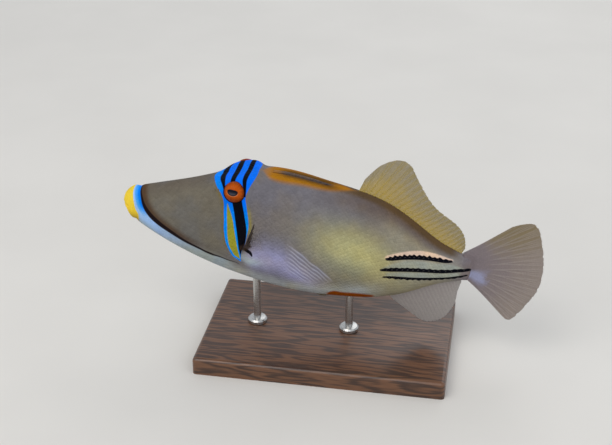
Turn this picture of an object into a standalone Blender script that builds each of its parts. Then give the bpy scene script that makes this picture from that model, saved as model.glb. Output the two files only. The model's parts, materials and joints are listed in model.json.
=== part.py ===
"""Picasso triggerfish: a life-size museum model, held by two rods over a plain base.

The fish is modelled in its own frame: x runs from the snout tip to the tail, y is
positive on its right side and z points to its back. Every body piece is parented to one
empty, which tips the snout up and sets the fish over its stand. Sizes are in
millimetres, and MM turns them into metres.
"""

import math

import bmesh
import bpy
import numpy as np
from mathutils import Matrix, Vector

MM = 0.001
GAP = 0.3

# Pose on the stand: the snout points up by this many degrees.
NOSE_UP = 7.4
# Clear height between the base and the lowest fin tip.
FIN_CLEARANCE = 9.0

# Body stations from snout to tail: distance from the snout tip, back line, belly line,
# half width, fullness of the upper half and of the lower half. A fullness exponent
# below 1 squares the section off, one above 1 makes it a lens.
STATIONS = (
    (0.0, 5.8, -6.8, 5.5, 0.80, 0.85),
    (8.0, 8.8, -11.5, 7.6, 0.88, 0.90),
    (20.0, 13.3, -17.7, 9.8, 0.90, 0.95),
    (40.0, 20.6, -25.4, 13.2, 0.78, 1.00),
    (60.0, 28.7, -30.6, 16.4, 0.62, 1.00),
    (76.0, 33.3, -33.3, 18.2, 0.62, 1.00),
    (92.0, 34.5, -35.4, 18.5, 0.66, 1.05),
    (112.0, 33.0, -36.0, 17.6, 0.78, 1.10),
    (132.0, 31.2, -34.0, 15.0, 0.96, 1.10),
    (150.0, 26.0, -30.4, 11.8, 1.05, 1.10),
    (168.0, 16.0, -21.6, 8.0, 1.05, 1.05),
    (184.0, 7.9, -12.4, 5.2, 1.00, 1.00),
    (199.0, 6.4, -8.6, 1.7, 0.90, 0.90),
)
NOSE_LENGTH = 7.0
# The snout rounds off by this power, and is blunter above than below.
NOSE_POWER, NOSE_BLUNTER = 2.4, 0.7
BODY_END = 199.0

# Brow over the eyes: height, distance from the snout, half length, angle from the
# midline and spread of that angle, both in radians.
BROW_RISE, BROW_PLACE, BROW_HALF = 4.4, 64.0, 10.3
BROW_TURN, BROW_SPREAD = 0.62, 0.50
BROW_OUT, BROW_UP = 0.85, 0.87
# How steeply the brow's push to the side starts at the midline.
BROW_START = 2.5
# Lips: swelling as a share of the section, its place and length, then the same for the
# crease behind them.
LIP_SWELL, LIP_PLACE, LIP_LENGTH = 0.069, 4.2, 2.4
CREASE_DEPTH, CREASE_PLACE, CREASE_LENGTH = 0.05, 8.3, 1.3
# Raised rear edge of the gill cover: height, how far ahead of the gill plane it stands,
# length, level and reach up and down.
FLAP_RISE, FLAP_AHEAD, FLAP_LENGTH = 0.7, 0.6, 1.5
FLAP_LEVEL, FLAP_REACH = -7.5, 6.0

AROUND = 36
NOSE_RINGS = 5
HEAD_STEP = 3.2
BODY_STEP = 4.4
# Closer rings round the gill plane, as offsets from it.
GILL_RINGS = (-2.6, -1.6, -0.6, 0.8, 2.4)

# Where the body is parted.
LIP_PLANE_AT = 7.6
LIP_PLANE_SLANT = 0.30
MOUTH_LEVEL = -1.6
MOUTH_OPENING = 0.7
GILL_PLANE_AT = 73.0
TAIL_PLANE_AT = 142.0

# Eyes: place, radius, ball depth, how far the ball's middle lies under the skin, and the
# tilt of the gaze above the horizontal and towards the snout.
EYE_AT = (64.5, 25.6)
EYE_RADIUS = 6.0
EYE_DEPTH = 4.2
EYE_SINK = 1.6
EYE_UP = 17.0
EYE_FORWARD = 6.0
# Rim round each eye as (radius, height) pairs, from its root to its inner edge.
ORBIT = ((7.6, -2.6), (7.2, -1.0), (7.0, 0.1), (6.5, 0.4), (5.7, 0.3))

EYE_SIDES = 28

NOSTRILS = ((55.4, 23.4), (53.2, 21.6))
# A nostril as (radius, height) pairs, from its floor to clear of the skin.
NOSTRIL_PIT = ((0.39, -1.0), (0.65, 0.2), (0.65, 1.2))

# Gill opening: its ends, its width, how deep it goes, how far its cutter stands out of
# the skin, and how far that reaches past the parting plane.
GILL_SLIT_TOP, GILL_SLIT_BOTTOM = -1.5, -13.0
GILL_SLIT_WIDTH, GILL_SLIT_DEPTH = 1.2, 2.6
GILL_SLIT_CLEAR, GILL_SLIT_PAST = 1.5, 2.0
GILL_SLIT_STEPS = 8

# Enlarged bony plates behind the gill opening: place, length and height of each.
PLATES = (
    (79.5, -2.8, 4.4, 3.2),
    (84.2, -0.6, 4.0, 3.0),
    (79.0, 1.4, 3.6, 2.8),
    (83.6, 3.6, 3.4, 2.6),
    (88.6, 2.2, 3.2, 2.6),
    (88.8, -2.6, 3.0, 2.4),
)
PLATE_RISE = 0.35

# Three rows of spines on each side of the tail: first and last spine, and their count.
SPINE_ROWS = (
    ((152.0, 0.4), (168.0, 3.2), (185.0, 2.8), 13),
    ((147.0, -6.7), (172.0, -3.8), (196.0, -1.4), 17),
    ((152.5, -10.9), (173.0, -10.6), (192.5, -5.8), 14),
)
SPINE_HEIGHT = 1.0
SPINE_HALF_BASE = 0.75
SPINE_ROOT = 0.6
SPINE_LEAN = 0.7

# First dorsal fin, folded into its groove: start, end, half width and depth.
TRIGGER_START, TRIGGER_END = 80.5, 116.0
TRIGGER_HALF_WIDTH = 1.5
TRIGGER_DEPTH = 2.4
TRIGGER_SPINES = ((82.0, 27.0, 1.25, 0.0), (86.5, 19.0, 0.8, 0.5), (90.5, 14.0, 0.65, -0.5))

# Fins as (share of the base, tip distance, tip height); rays are read between these.
SECOND_DORSAL_BASE = (129.0, 190.0)
SECOND_DORSAL_TIPS = (
    (0.00, 130.6, 39.8),
    (0.08, 138.9, 49.6),
    (0.16, 147.4, 53.0),
    (0.26, 153.8, 49.4),
    (0.38, 160.4, 42.3),
    (0.50, 168.0, 33.8),
    (0.62, 175.6, 28.0),
    (0.75, 183.6, 23.8),
    (0.88, 189.6, 18.0),
    (1.00, 191.8, 10.2),
)
SECOND_DORSAL_RAYS = 24
SECOND_DORSAL_LEAN = 8.0

ANAL_BASE = (155.3, 192.8)
ANAL_TIPS = (
    (0.00, 159.0, -31.6),
    (0.10, 167.6, -36.8),
    (0.22, 176.2, -41.7),
    (0.34, 181.6, -41.6),
    (0.46, 186.0, -39.2),
    (0.58, 189.2, -35.2),
    (0.70, 191.4, -30.0),
    (0.82, 192.9, -23.6),
    (0.92, 192.8, -17.3),
    (1.00, 193.8, -11.0),
)
ANAL_RAYS = 21
ANAL_LEAN = 3.0

CAUDAL_ROOT = (6.0, -8.2)
CAUDAL_TIP = 235.5
CAUDAL_HALF_HEIGHT = 31.6
CAUDAL_LEVEL = 1.3
CAUDAL_CORNER = 11.4
CAUDAL_CORNER_POWER = 2.2
CAUDAL_BULGE = 5.2
CAUDAL_RAYS = 13

PECTORAL_TOP, PECTORAL_BOTTOM = (74.6, -3.8), (75.8, -9.6)
PECTORAL_FIRST = (0.20, 0.50, 0.84)
PECTORAL_LAST = (0.58, 0.60, 0.60)
PECTORAL_LENGTHS = (25.0, 27.0, 25.0, 21.0, 17.0)
PECTORAL_RAYS = 13
PECTORAL_CUP = 2.2

PELVIC_START, PELVIC_END = 115.0, 123.5
PELVIC_DROP = 1.9
PELVIC_HALF_WIDTH = 1.3

# Fins: thickness of a ray and of the membrane, at the root and at the tip.
RAY_ROOT, RAY_TIP = 1.15, 0.62
MEMBRANE_ROOT, MEMBRANE_TIP = 0.62, 0.50
EDGE_NOTCH = 0.35
FIN_ROWS = 6

# Display stand.
BASE_LENGTH, BASE_WIDTH, BASE_HEIGHT = 140.0, 90.0, 10.0
BASE_BEVEL = 2.0
ROD_RADIUS = 2.2
ROD_FOOT_RADIUS, ROD_FOOT_HEIGHT = 5.5, 2.4
ROD_FRONT_AT, ROD_REAR_AT = 80.0, 134.0
ROD_REACH = 6.0


def start_clean():
    """Remove every object of the scene."""
    for old in list(bpy.data.objects):
        bpy.data.objects.remove(old, do_unlink=True)


def material(name, colour, roughness, metallic=0.0):
    """A Principled material with one colour."""
    made = bpy.data.materials.new(name)
    made.use_nodes = True
    shader = made.node_tree.nodes["Principled BSDF"]
    shader.inputs["Base Color"].default_value = (*colour, 1.0)
    shader.inputs["Roughness"].default_value = roughness
    shader.inputs["Metallic"].default_value = metallic
    made.diffuse_color = (*colour, 1.0)
    return made


class Curve:
    """A smooth line through a few named points, straight at both ends."""

    def __init__(self, places, values):
        self.x = np.array(places, float)
        self.y = np.array(values, float)
        count = len(self.x)
        step = np.diff(self.x)
        rows = np.eye(count)
        right = np.zeros(count)
        for i in range(1, count - 1):
            rows[i, i - 1] = step[i - 1]
            rows[i, i] = 2.0 * (step[i - 1] + step[i])
            rows[i, i + 1] = step[i]
            rise_after = (self.y[i + 1] - self.y[i]) / step[i]
            rise_before = (self.y[i] - self.y[i - 1]) / step[i - 1]
            right[i] = 6.0 * (rise_after - rise_before)
        self.bend = np.linalg.solve(rows, right)
        self.step = step

    def __call__(self, at):
        i = int(np.clip(np.searchsorted(self.x, at) - 1, 0, len(self.step) - 1))
        h = self.step[i]
        left = (self.x[i + 1] - at) / h
        right = (at - self.x[i]) / h
        curved = (left**3 - left) * self.bend[i] + (right**3 - right) * self.bend[i + 1]
        return float(left * self.y[i] + right * self.y[i + 1] + curved * h * h / 6.0)


def column(rows, index):
    """One column of a table of rows."""
    return [row[index] for row in rows]


PLACES = column(STATIONS, 0)
BACK = Curve(PLACES, column(STATIONS, 1))
BELLY = Curve(PLACES, column(STATIONS, 2))
WIDTH = Curve(PLACES, column(STATIONS, 3))
UPPER_FULLNESS = Curve(PLACES, column(STATIONS, 4))
LOWER_FULLNESS = Curve(PLACES, column(STATIONS, 5))


def bell(value, centre, spread):
    """1 at the centre, fading to 0 on both sides."""
    return math.exp(-(((value - centre) / spread) ** 2))


def body_point(s, angle, grow=0.0):
    """The skin at a distance from the snout; angle 0 is the back, pi the belly.

    A positive angle is the fish's right side (+y).
    """
    back, belly = BACK(s), BELLY(s)
    share = min(max(s / NOSE_LENGTH, 0.0), 1.0)
    up = math.cos(angle)
    side = math.sin(angle)
    power = NOSE_POWER + NOSE_BLUNTER * up
    rounding = (1.0 - (1.0 - share) ** power) ** (1.0 / power)
    rounding *= 1.0 + LIP_SWELL * bell(s, LIP_PLACE, LIP_LENGTH)
    rounding *= 1.0 - CREASE_DEPTH * bell(s, CREASE_PLACE, CREASE_LENGTH)
    fullness = UPPER_FULLNESS(s) if up > 0 else LOWER_FULLNESS(s)
    z = (back + belly) / 2.0 + ((back - belly) / 2.0 * rounding + grow) * up
    y = (WIDTH(s) * rounding + grow) * math.copysign(abs(side) ** fullness, side)
    turn = abs(math.remainder(angle, 2.0 * math.pi))
    along_brow = math.exp(-(((s - BROW_PLACE) / BROW_HALF) ** 4))
    brow = BROW_RISE * along_brow * bell(turn, BROW_TURN, BROW_SPREAD)
    y += BROW_OUT * brow * max(-1.0, min(1.0, BROW_START * side))
    z += BROW_UP * brow
    flap = FLAP_RISE * bell(s, GILL_PLANE_AT - FLAP_AHEAD, FLAP_LENGTH)
    y += math.copysign(flap * bell(z, FLAP_LEVEL, FLAP_REACH), side)
    return Vector((s, y, z))


def skin_at(s, z, side=-1):
    """The point of the skin at a distance from the snout and a level, on one side."""
    low, high = 0.02, math.pi - 0.02
    for _ in range(40):
        middle = (low + high) / 2.0
        if body_point(s, middle).z > z:
            low = middle
        else:
            high = middle
    return body_point(s, side * low)


def skin_normal(s, z, side=-1):
    """The outward direction of the skin there."""
    along = skin_at(s + 0.5, z, side) - skin_at(s - 0.5, z, side)
    upward = skin_at(s, z + 0.5, side) - skin_at(s, z - 0.5, side)
    out = along.cross(upward).normalized()
    return out if out.y * side > 0 else -out


def ring_places():
    """Distances from the snout of the body's rings."""
    nose = [
        NOSE_LENGTH * (1.0 - math.cos(math.pi / 2.0 * i / NOSE_RINGS))
        for i in range(1, NOSE_RINGS)
    ]
    head = list(np.arange(NOSE_LENGTH, GILL_PLANE_AT - 3.0, HEAD_STEP))
    gill = [GILL_PLANE_AT + offset for offset in GILL_RINGS]
    rest = list(np.arange(GILL_PLANE_AT + 5.0, BODY_END - 2.0, BODY_STEP))
    return nose + head + gill + rest + [BODY_END]


def mesh_object(name, points, faces, look=None, parent=None):
    """A new object from points in millimetres."""
    mesh = bpy.data.meshes.new(name)
    mesh.from_pydata([(p[0] * MM, p[1] * MM, p[2] * MM) for p in points], [], faces)
    mesh.validate()
    made = bpy.data.objects.new(name, mesh)
    bpy.context.scene.collection.objects.link(made)
    if look is not None:
        mesh.materials.append(look)
    if parent is not None:
        made.parent = parent
    face_out(mesh)
    return made


def face_out(mesh):
    """Turn the faces of a closed mesh outward."""
    bm = bmesh.new()
    bm.from_mesh(mesh)
    bmesh.ops.recalc_face_normals(bm, faces=bm.faces)
    if bm.calc_volume(signed=True) < 0:
        bmesh.ops.reverse_faces(bm, faces=bm.faces)
    bm.to_mesh(mesh)
    bm.free()


def body_mesh(name, grow=0.0):
    """The whole body, from the snout to the end of the tail, as one closed mesh."""
    rings = ring_places()
    points = []
    for s in rings:
        points += [body_point(s, 2.0 * math.pi * j / AROUND, grow) for j in range(AROUND)]
    faces = []
    for i in range(len(rings) - 1):
        for j in range(AROUND):
            k = (j + 1) % AROUND
            a, b = i * AROUND + j, i * AROUND + k
            c, d = a + AROUND, b + AROUND
            faces.append((a, b, d, c))
    tip = body_point(0.0, math.pi / 2.0)
    points.append((-grow, 0.0, tip.z))
    nose = len(points) - 1
    last = (len(rings) - 1) * AROUND
    for j in range(AROUND):
        faces.append((nose, (j + 1) % AROUND, j))
    faces.append(tuple(last + j for j in range(AROUND)))
    return mesh_object(name, points, faces)


def part_of(source, name, cuts, look, parent):
    """A copy of a closed mesh kept behind each cut plane, with the cuts closed.

    Each cut is a point and a direction in millimetres; what lies ahead of it goes.
    """
    bm = bmesh.new()
    bm.from_mesh(source.data)
    for point, direction in cuts:
        everything = bm.verts[:] + bm.edges[:] + bm.faces[:]
        bmesh.ops.bisect_plane(
            bm,
            geom=everything,
            dist=1e-7,
            plane_co=Vector(point) * MM,
            plane_no=Vector(direction),
            clear_outer=True,
        )
        rim = [edge for edge in bm.edges if edge.is_boundary]
        bmesh.ops.holes_fill(bm, edges=rim, sides=0)
    bmesh.ops.recalc_face_normals(bm, faces=bm.faces)
    mesh = bpy.data.meshes.new(name)
    bm.to_mesh(mesh)
    bm.free()
    made = bpy.data.objects.new(name, mesh)
    bpy.context.scene.collection.objects.link(made)
    mesh.materials.append(look)
    made.parent = parent
    face_out(mesh)
    return made


def keep_largest(mesh):
    """Keep only the closed surface that reaches furthest on all three axes."""
    bm = bmesh.new()
    bm.from_mesh(mesh)
    left = set(bm.faces)
    shells = []
    while left:
        shell = set()
        front = [left.pop()]
        while front:
            face = front.pop()
            shell.add(face)
            for edge in face.edges:
                for other in edge.link_faces:
                    if other in left:
                        left.discard(other)
                        front.append(other)
        shells.append(shell)

    def reach(shell):
        points = [v.co for face in shell for v in face.verts]
        spans = [max(p[k] for p in points) - min(p[k] for p in points) for k in range(3)]
        return spans[0] * spans[1] * spans[2]

    if len(shells) > 1:
        largest = max(shells, key=reach)
        scrap = [face for face in bm.faces if face not in largest]
        bmesh.ops.delete(bm, geom=scrap, context="FACES")
        loose = [v for v in bm.verts if not v.link_faces]
        bmesh.ops.delete(bm, geom=loose, context="VERTS")
    bm.to_mesh(mesh)
    bm.free()


def combine(target, tools, operation, solver="EXACT"):
    """Join tools to a target, or cut them from it, in one applied Boolean."""
    group = bpy.data.collections.new(target.name + "_tools")
    bpy.context.scene.collection.children.link(group)
    for tool in tools:
        group.objects.link(tool)
    bpy.context.view_layer.update()
    boolean = target.modifiers.new("combine", "BOOLEAN")
    boolean.operation = operation
    boolean.solver = solver
    boolean.operand_type = "COLLECTION"
    boolean.collection = group
    graph = bpy.context.evaluated_depsgraph_get()
    result = bpy.data.meshes.new_from_object(target.evaluated_get(graph))
    target.modifiers.clear()
    looks = list(target.data.materials)
    target.data = result
    result.materials.clear()
    for look in looks:
        result.materials.append(look)
    for tool in tools:
        bpy.data.objects.remove(tool, do_unlink=True)
    bpy.data.collections.remove(group)
    keep_largest(result)


def frame_at(point, out, forward=Vector((1.0, 0.0, 0.0))):
    """Axes at a point of the skin: z points out, x runs tailward."""
    z = out.normalized()
    x = (forward - z * forward.dot(z)).normalized()
    y = z.cross(x)
    turn = Matrix((x, y, z)).transposed().to_4x4()
    return Matrix.Translation(point) @ turn


def turned(name, profile, frame, sides, parent, look=None, flatten=1.0):
    """A closed solid turned from (radius, height) pairs about the frame's z axis."""
    points = []
    for radius, height in profile:
        for j in range(sides):
            angle = 2.0 * math.pi * j / sides
            local = Vector((radius * math.cos(angle), flatten * radius * math.sin(angle), height))
            points.append(frame @ local)
    faces = []
    for i in range(len(profile) - 1):
        for j in range(sides):
            k = (j + 1) % sides
            faces.append((i * sides + j, i * sides + k, (i + 1) * sides + k, (i + 1) * sides + j))
    faces.append(tuple(range(sides)))
    last = (len(profile) - 1) * sides
    faces.append(tuple(last + j for j in range(sides)))
    return mesh_object(name, points, faces, look, parent)


def eye_frame(side):
    """Axes of an eye: its centre on the skin, z along the gaze."""
    centre = skin_at(*EYE_AT, side)
    up, ahead = math.radians(EYE_UP), math.radians(EYE_FORWARD)
    gaze = Vector((-math.sin(ahead), side * math.cos(up), math.sin(up)))
    return frame_at(centre, gaze)


def ball_profile(radius, depth, grow=0.0, steps=9):
    """Half an ellipse from front to back, as (radius, height) pairs."""
    pairs = []
    for i in range(1, steps):
        angle = math.pi * i / steps
        pairs.append(((radius + grow) * math.sin(angle), (depth + grow) * math.cos(angle) - EYE_SINK))
    return pairs


def eyes(parent, look):
    """Both eyeballs."""
    for side, name in ((-1, "eye_left"), (1, "eye_right")):
        ball = ball_profile(EYE_RADIUS, EYE_DEPTH)
        turned(name, ball, eye_frame(side), EYE_SIDES, parent, look)


def head_fittings(head, parent):
    """Rims round the eyes, then sockets, nostrils and the gill slits."""
    rims, cutters = [], []
    for side in (-1, 1):
        frame = eye_frame(side)
        rims.append(turned("rim", ORBIT, frame, EYE_SIDES, parent))
        socket = ball_profile(EYE_RADIUS, EYE_DEPTH, GAP)
        cutters.append(turned("socket", socket, frame, EYE_SIDES, parent))
        for place in NOSTRILS:
            spot = skin_at(*place, side)
            pit_frame = frame_at(spot, skin_normal(*place, side))
            cutters.append(turned("nostril", NOSTRIL_PIT, pit_frame, 8, parent))
    combine(head, rims, "UNION")
    combine(head, cutters, "DIFFERENCE")


def gill_slits(head, parent):
    """Widen the parting line before each pectoral fin into the gill opening."""
    cutters = []
    steps = GILL_SLIT_STEPS
    for side in (-1, 1):
        points, faces = [], []
        for i in range(steps + 1):
            z = GILL_SLIT_BOTTOM + (GILL_SLIT_TOP - GILL_SLIT_BOTTOM) * i / steps
            wide = 0.05 + GILL_SLIT_WIDTH * math.sin(math.pi * i / steps) ** 0.6
            spot = skin_at(GILL_PLANE_AT, z, side)
            corners = (
                (wide, -GILL_SLIT_CLEAR),
                (wide * 0.5, GILL_SLIT_DEPTH),
                (-GILL_SLIT_PAST, GILL_SLIT_DEPTH),
                (-GILL_SLIT_PAST, -GILL_SLIT_CLEAR),
            )
            for front, depth in corners:
                points.append((GILL_PLANE_AT - front, spot.y - side * depth, z))
        for i in range(steps):
            for j in range(4):
                k = (j + 1) % 4
                faces.append((i * 4 + j, i * 4 + k, i * 4 + 4 + k, i * 4 + 4 + j))
        faces.append((0, 1, 2, 3))
        faces.append(tuple(steps * 4 + j for j in range(4)))
        cutters.append(mesh_object("slit", points, faces, None, parent))
    combine(head, cutters, "DIFFERENCE")


def plates(trunk, parent):
    """The enlarged plates behind each gill opening."""
    raised = []
    for side in (-1, 1):
        for s, z, length, height in PLATES:
            frame = frame_at(skin_at(s, z, side), skin_normal(s, z, side))
            profile = (
                (length * 0.5, -0.7),
                (length * 0.5, PLATE_RISE * 0.4),
                (length * 0.36, PLATE_RISE),
            )
            raised.append(turned("plate", profile, frame, 8, parent, None, height / length))
    combine(trunk, raised, "UNION")


def row_point(row, share):
    """A point along a spine row, through its first, middle and last spine."""
    first, middle, last = row[:3]
    s = first[0] + (last[0] - first[0]) * share
    level = Curve((first[0], middle[0], last[0]), (first[1], middle[1], last[1]))
    return s, level(s)


def spine(s, z, side, scale, parent):
    """One tail spine: a four-sided thorn that leans towards the head."""
    spot = skin_at(s, z, side)
    out = skin_normal(s, z, side)
    frame = frame_at(spot, out)
    half = SPINE_HALF_BASE * scale
    base = ((-half, 0.0), (0.0, -half * 0.7), (half, 0.0), (0.0, half * 0.7))
    points = [frame @ Vector((x, y, -SPINE_ROOT)) for x, y in base]
    points.append(frame @ Vector((-SPINE_LEAN * scale, 0.0, SPINE_HEIGHT * scale)))
    faces = [(0, 1, 2, 3)] + [(i, (i + 1) % 4, 4) for i in range(4)]
    return mesh_object("spine", points, faces, None, parent)


def tail_spines(tail, parent):
    """The three spine rows on each side of the tail."""
    thorns = []
    for side in (-1, 1):
        for row in SPINE_ROWS:
            count = row[3]
            for i in range(count):
                share = i / (count - 1)
                s, z = row_point(row, share)
                scale = 0.72 + 0.28 * math.sin(math.pi * min(1.0, share + 0.12))
                thorns.append(spine(s, z, side, scale, parent))
    combine(tail, thorns, "UNION", "MANIFOLD")


def fin_grid(name, columns, look, parent):
    """A thin closed fin from columns of (centre, half thickness direction) pairs.

    Both faces are split into triangles along the same diagonals.
    """
    rows = len(columns[0])
    points = []
    for sign in (1, -1):
        for line in columns:
            points += [centre + sign * offset for centre, offset in line]
    size = len(columns) * rows
    faces = []
    for i in range(len(columns) - 1):
        for j in range(rows - 1):
            a, b = i * rows + j, (i + 1) * rows + j
            c, d = b + 1, a + 1
            faces += [(a, b, c), (a, c, d)]
            faces += [(size + a, size + c, size + b), (size + a, size + d, size + c)]
    edge = [i * rows for i in range(len(columns))]
    edge += [(len(columns) - 1) * rows + j for j in range(1, rows)]
    edge += [i * rows + rows - 1 for i in range(len(columns) - 2, -1, -1)]
    edge += [j for j in range(rows - 2, 0, -1)]
    for a, b in zip(edge, edge[1:] + edge[:1]):
        faces += [(a, size + a, size + b), (a, size + b, b)]
    return mesh_object(name, points, faces, look, parent)


def rayed_fin(name, rays, root, tip, bend, thick_way, look, parent):
    """A fin whose rays stand as ridges on its membrane.

    root(u) and tip(u) give the ends of the line at share u of the fin, bend(u, t) what
    is added along it, and thick_way(u) the direction of its thickness.
    """
    lines = 2 * rays - 1
    columns = []
    for i in range(lines):
        u = i / (lines - 1)
        on_ray = i % 2 == 0
        start, end = root(u), tip(u)
        if not on_ray:
            end = end + (start - end).normalized() * EDGE_NOTCH
        line = []
        for j in range(FIN_ROWS + 1):
            t = j / FIN_ROWS
            thick_root, thick_tip = (RAY_ROOT, RAY_TIP) if on_ray else (MEMBRANE_ROOT, MEMBRANE_TIP)
            half = (thick_root + (thick_tip - thick_root) * t) / 2.0
            centre = start.lerp(end, t) + bend(u, t)
            line.append((centre, thick_way(u) * half))
        columns.append(line)
    return fin_grid(name, columns, look, parent)


def midline_fin(name, base, tips, rays, lean, edge_line, gap, look, parent):
    """The second dorsal or the anal fin, rooted on the body's back or belly line."""
    tip_s = Curve(column(tips, 0), column(tips, 1))
    tip_z = Curve(column(tips, 0), column(tips, 2))
    slope = math.tan(math.radians(lean))

    def root(u):
        s = base[0] + (base[1] - base[0]) * u
        return Vector((s, 0.0, edge_line(s) + gap))

    def tip(u):
        reach = abs(tip_z(u) - root(u).z)
        return Vector((tip_s(u), slope * reach, tip_z(u)))

    def wave(u, t):
        return Vector((0.0, 0.9 * t * t * math.sin(5.0 * u + 0.6), 0.0))

    side = Vector((0.0, 1.0, 0.0))
    return rayed_fin(name, rays, root, tip, wave, lambda u: side, look, parent)


def caudal_fin(look, parent):
    """The tail fin: a fan that widens at once and ends almost straight."""
    side = Vector((0.0, 1.0, 0.0))

    def root(u):
        return Vector((BODY_END + GAP, 0.0, CAUDAL_ROOT[0] + (CAUDAL_ROOT[1] - CAUDAL_ROOT[0]) * u))

    def tip(u):
        v = 1.0 - 2.0 * u
        s = CAUDAL_TIP - CAUDAL_CORNER * abs(v) ** CAUDAL_CORNER_POWER
        return Vector((s, 0.0, CAUDAL_LEVEL + CAUDAL_HALF_HEIGHT * v))

    def bulge(u, t):
        v = 1.0 - 2.0 * u
        swell = CAUDAL_BULGE * abs(v) ** 3 * math.sin(math.pi * t) * math.copysign(1.0, v)
        way = Vector((-0.7 * math.copysign(1.0, v), 0.0, 0.7))
        return way * swell + Vector((0.0, 0.8 * t * t * math.sin(4.0 * u), 0.0))

    return rayed_fin("caudal_fin", CAUDAL_RAYS, root, tip, bulge, lambda u: side, look, parent)


def pectoral_fin(side, look, parent):
    """One pectoral fin, spread out and up from its slanting root."""
    first = Vector(PECTORAL_FIRST).normalized()
    last = Vector(PECTORAL_LAST).normalized()
    reach = Curve(np.linspace(0.0, 1.0, len(PECTORAL_LENGTHS)), PECTORAL_LENGTHS)
    broad = first.cross(last).normalized()

    def mirrored(vector):
        return Vector((vector.x, vector.y * side, vector.z))

    def place(u):
        s = PECTORAL_TOP[0] + (PECTORAL_BOTTOM[0] - PECTORAL_TOP[0]) * u
        z = PECTORAL_TOP[1] + (PECTORAL_BOTTOM[1] - PECTORAL_TOP[1]) * u
        return s, z

    def root(u):
        return skin_at(*place(u), side) + skin_normal(*place(u), side) * (GAP + 0.15)

    def tip(u):
        way = first.lerp(last, u).normalized()
        return root(u) + mirrored(way) * reach(u)

    def cup(u, t):
        return mirrored(broad) * (PECTORAL_CUP * math.sin(math.pi * u) * t * t)

    name = "pectoral_fin_left" if side < 0 else "pectoral_fin_right"
    return rayed_fin(name, PECTORAL_RAYS, root, tip, cup, lambda u: mirrored(broad), look, parent)


def trigger_section(s, grow, top_extra):
    """Corners of the folded first dorsal fin's section at a distance from the snout."""
    share = (s - TRIGGER_START) / (TRIGGER_END - TRIGGER_START)
    taper = max(0.22, math.sin(math.pi * min(1.0, 0.16 + share * 0.84)) ** 0.6)
    half = TRIGGER_HALF_WIDTH * taper + grow
    top = BACK(s) + 0.15 + top_extra
    low = BACK(s) - TRIGGER_DEPTH * taper - grow
    middle = (top + low) / 2.0 if top_extra < 1.0 else BACK(s) - 0.4
    crest = 0.35 * taper if top_extra < 1.0 else 0.0
    return (
        Vector((s, -half * 0.5, low)),
        Vector((s, half * 0.5, low)),
        Vector((s, half, middle)),
        Vector((s, half, top - crest)),
        Vector((s, half * 0.55, top)),
        Vector((s, 0.0, top - crest)),
        Vector((s, -half * 0.55, top)),
        Vector((s, -half, top - crest)),
        Vector((s, -half, middle)),
    )


def trigger_loft(name, grow, top_extra, look, parent):
    """The folded fin's body, or the cutter of its groove."""
    steps = 12
    points, faces = [], []
    start, end = TRIGGER_START - grow, TRIGGER_END + grow
    for i in range(steps + 1):
        points += trigger_section(start + (end - start) * i / steps, grow, top_extra)
    corners = len(points) // (steps + 1)
    for i in range(steps):
        for j in range(corners):
            k = (j + 1) % corners
            faces.append((i * corners + j, i * corners + k, (i + 1) * corners + k, (i + 1) * corners + j))
    faces.append(tuple(range(corners)))
    faces.append(tuple(steps * corners + j for j in range(corners)))
    return mesh_object(name, points, faces, look, parent)


def tapered_rod(start, end, radius_start, radius_end, sides, parent):
    """A straight spine with a blunt tip."""
    way = end - start
    frame = frame_at(start, way, Vector((0.0, 1.0, 0.0)))
    length = way.length
    profile = (
        (radius_start, 0.0),
        ((radius_start + radius_end) / 2.0, length * 0.6),
        (radius_end, length * 0.94),
        (radius_end * 0.4, length),
    )
    return turned("spine", profile, frame, sides, parent)


def first_dorsal_fin(trunk, look, parent):
    """The trigger spine and its two fellows, folded with their membrane into a groove."""
    combine(trunk, [trigger_loft("groove", GAP, 4.0, None, parent)], "DIFFERENCE")
    fin = trigger_loft("first_dorsal_fin", 0.0, 0.0, look, parent)
    rods = []
    for s, length, radius, y in TRIGGER_SPINES:
        rear = s + length
        start = Vector((s, y * 0.6, BACK(s) - 0.35))
        end = Vector((rear, y, BACK(rear) + 0.1))
        rods.append(tapered_rod(start, end, radius, radius * 0.4, 8, parent))
    combine(fin, rods, "UNION")
    return fin


def pelvic_spine(look, parent):
    """The blunt, rough knob at the end of the pelvis."""
    steps = 6
    points, faces = [], []
    for i in range(steps + 1):
        share = i / steps
        s = PELVIC_START + (PELVIC_END - PELVIC_START) * share
        swell = 0.35 + 0.65 * math.sin(math.pi * min(1.0, 0.15 + share * 0.8))
        top = BELLY(s) - GAP
        low = top - PELVIC_DROP * swell * (1.0 + 0.12 * (-1) ** i)
        half = PELVIC_HALF_WIDTH * swell
        points += [
            Vector((s, -half * 0.5, top)),
            Vector((s, half * 0.5, top)),
            Vector((s, half, (top + low) / 2.0)),
            Vector((s, half * 0.4, low)),
            Vector((s, -half * 0.4, low)),
            Vector((s, -half, (top + low) / 2.0)),
        ]
    for i in range(steps):
        for j in range(6):
            k = (j + 1) % 6
            faces.append((i * 6 + j, i * 6 + k, i * 6 + 6 + k, i * 6 + 6 + j))
    faces.append(tuple(range(6)))
    faces.append(tuple(steps * 6 + j for j in range(6)))
    return mesh_object("pelvic_spine", points, faces, look, parent)


def world_points(objects):
    """Every vertex of the objects in world space."""
    bpy.context.view_layer.update()
    return [made.matrix_world @ v.co for made in objects for v in made.data.vertices]


def place_fish(fish):
    """Tip the fish, centre it over the origin and lift it clear of the base."""
    fish.rotation_euler = (0.0, math.radians(NOSE_UP), 0.0)
    points = world_points([child for child in fish.children if child.type == "MESH"])
    low, high = min(p.x for p in points), max(p.x for p in points)
    floor = (BASE_HEIGHT + FIN_CLEARANCE) * MM
    fish.location = (-(low + high) / 2.0, 0.0, floor - min(p.z for p in points))
    bpy.context.view_layer.update()


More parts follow.
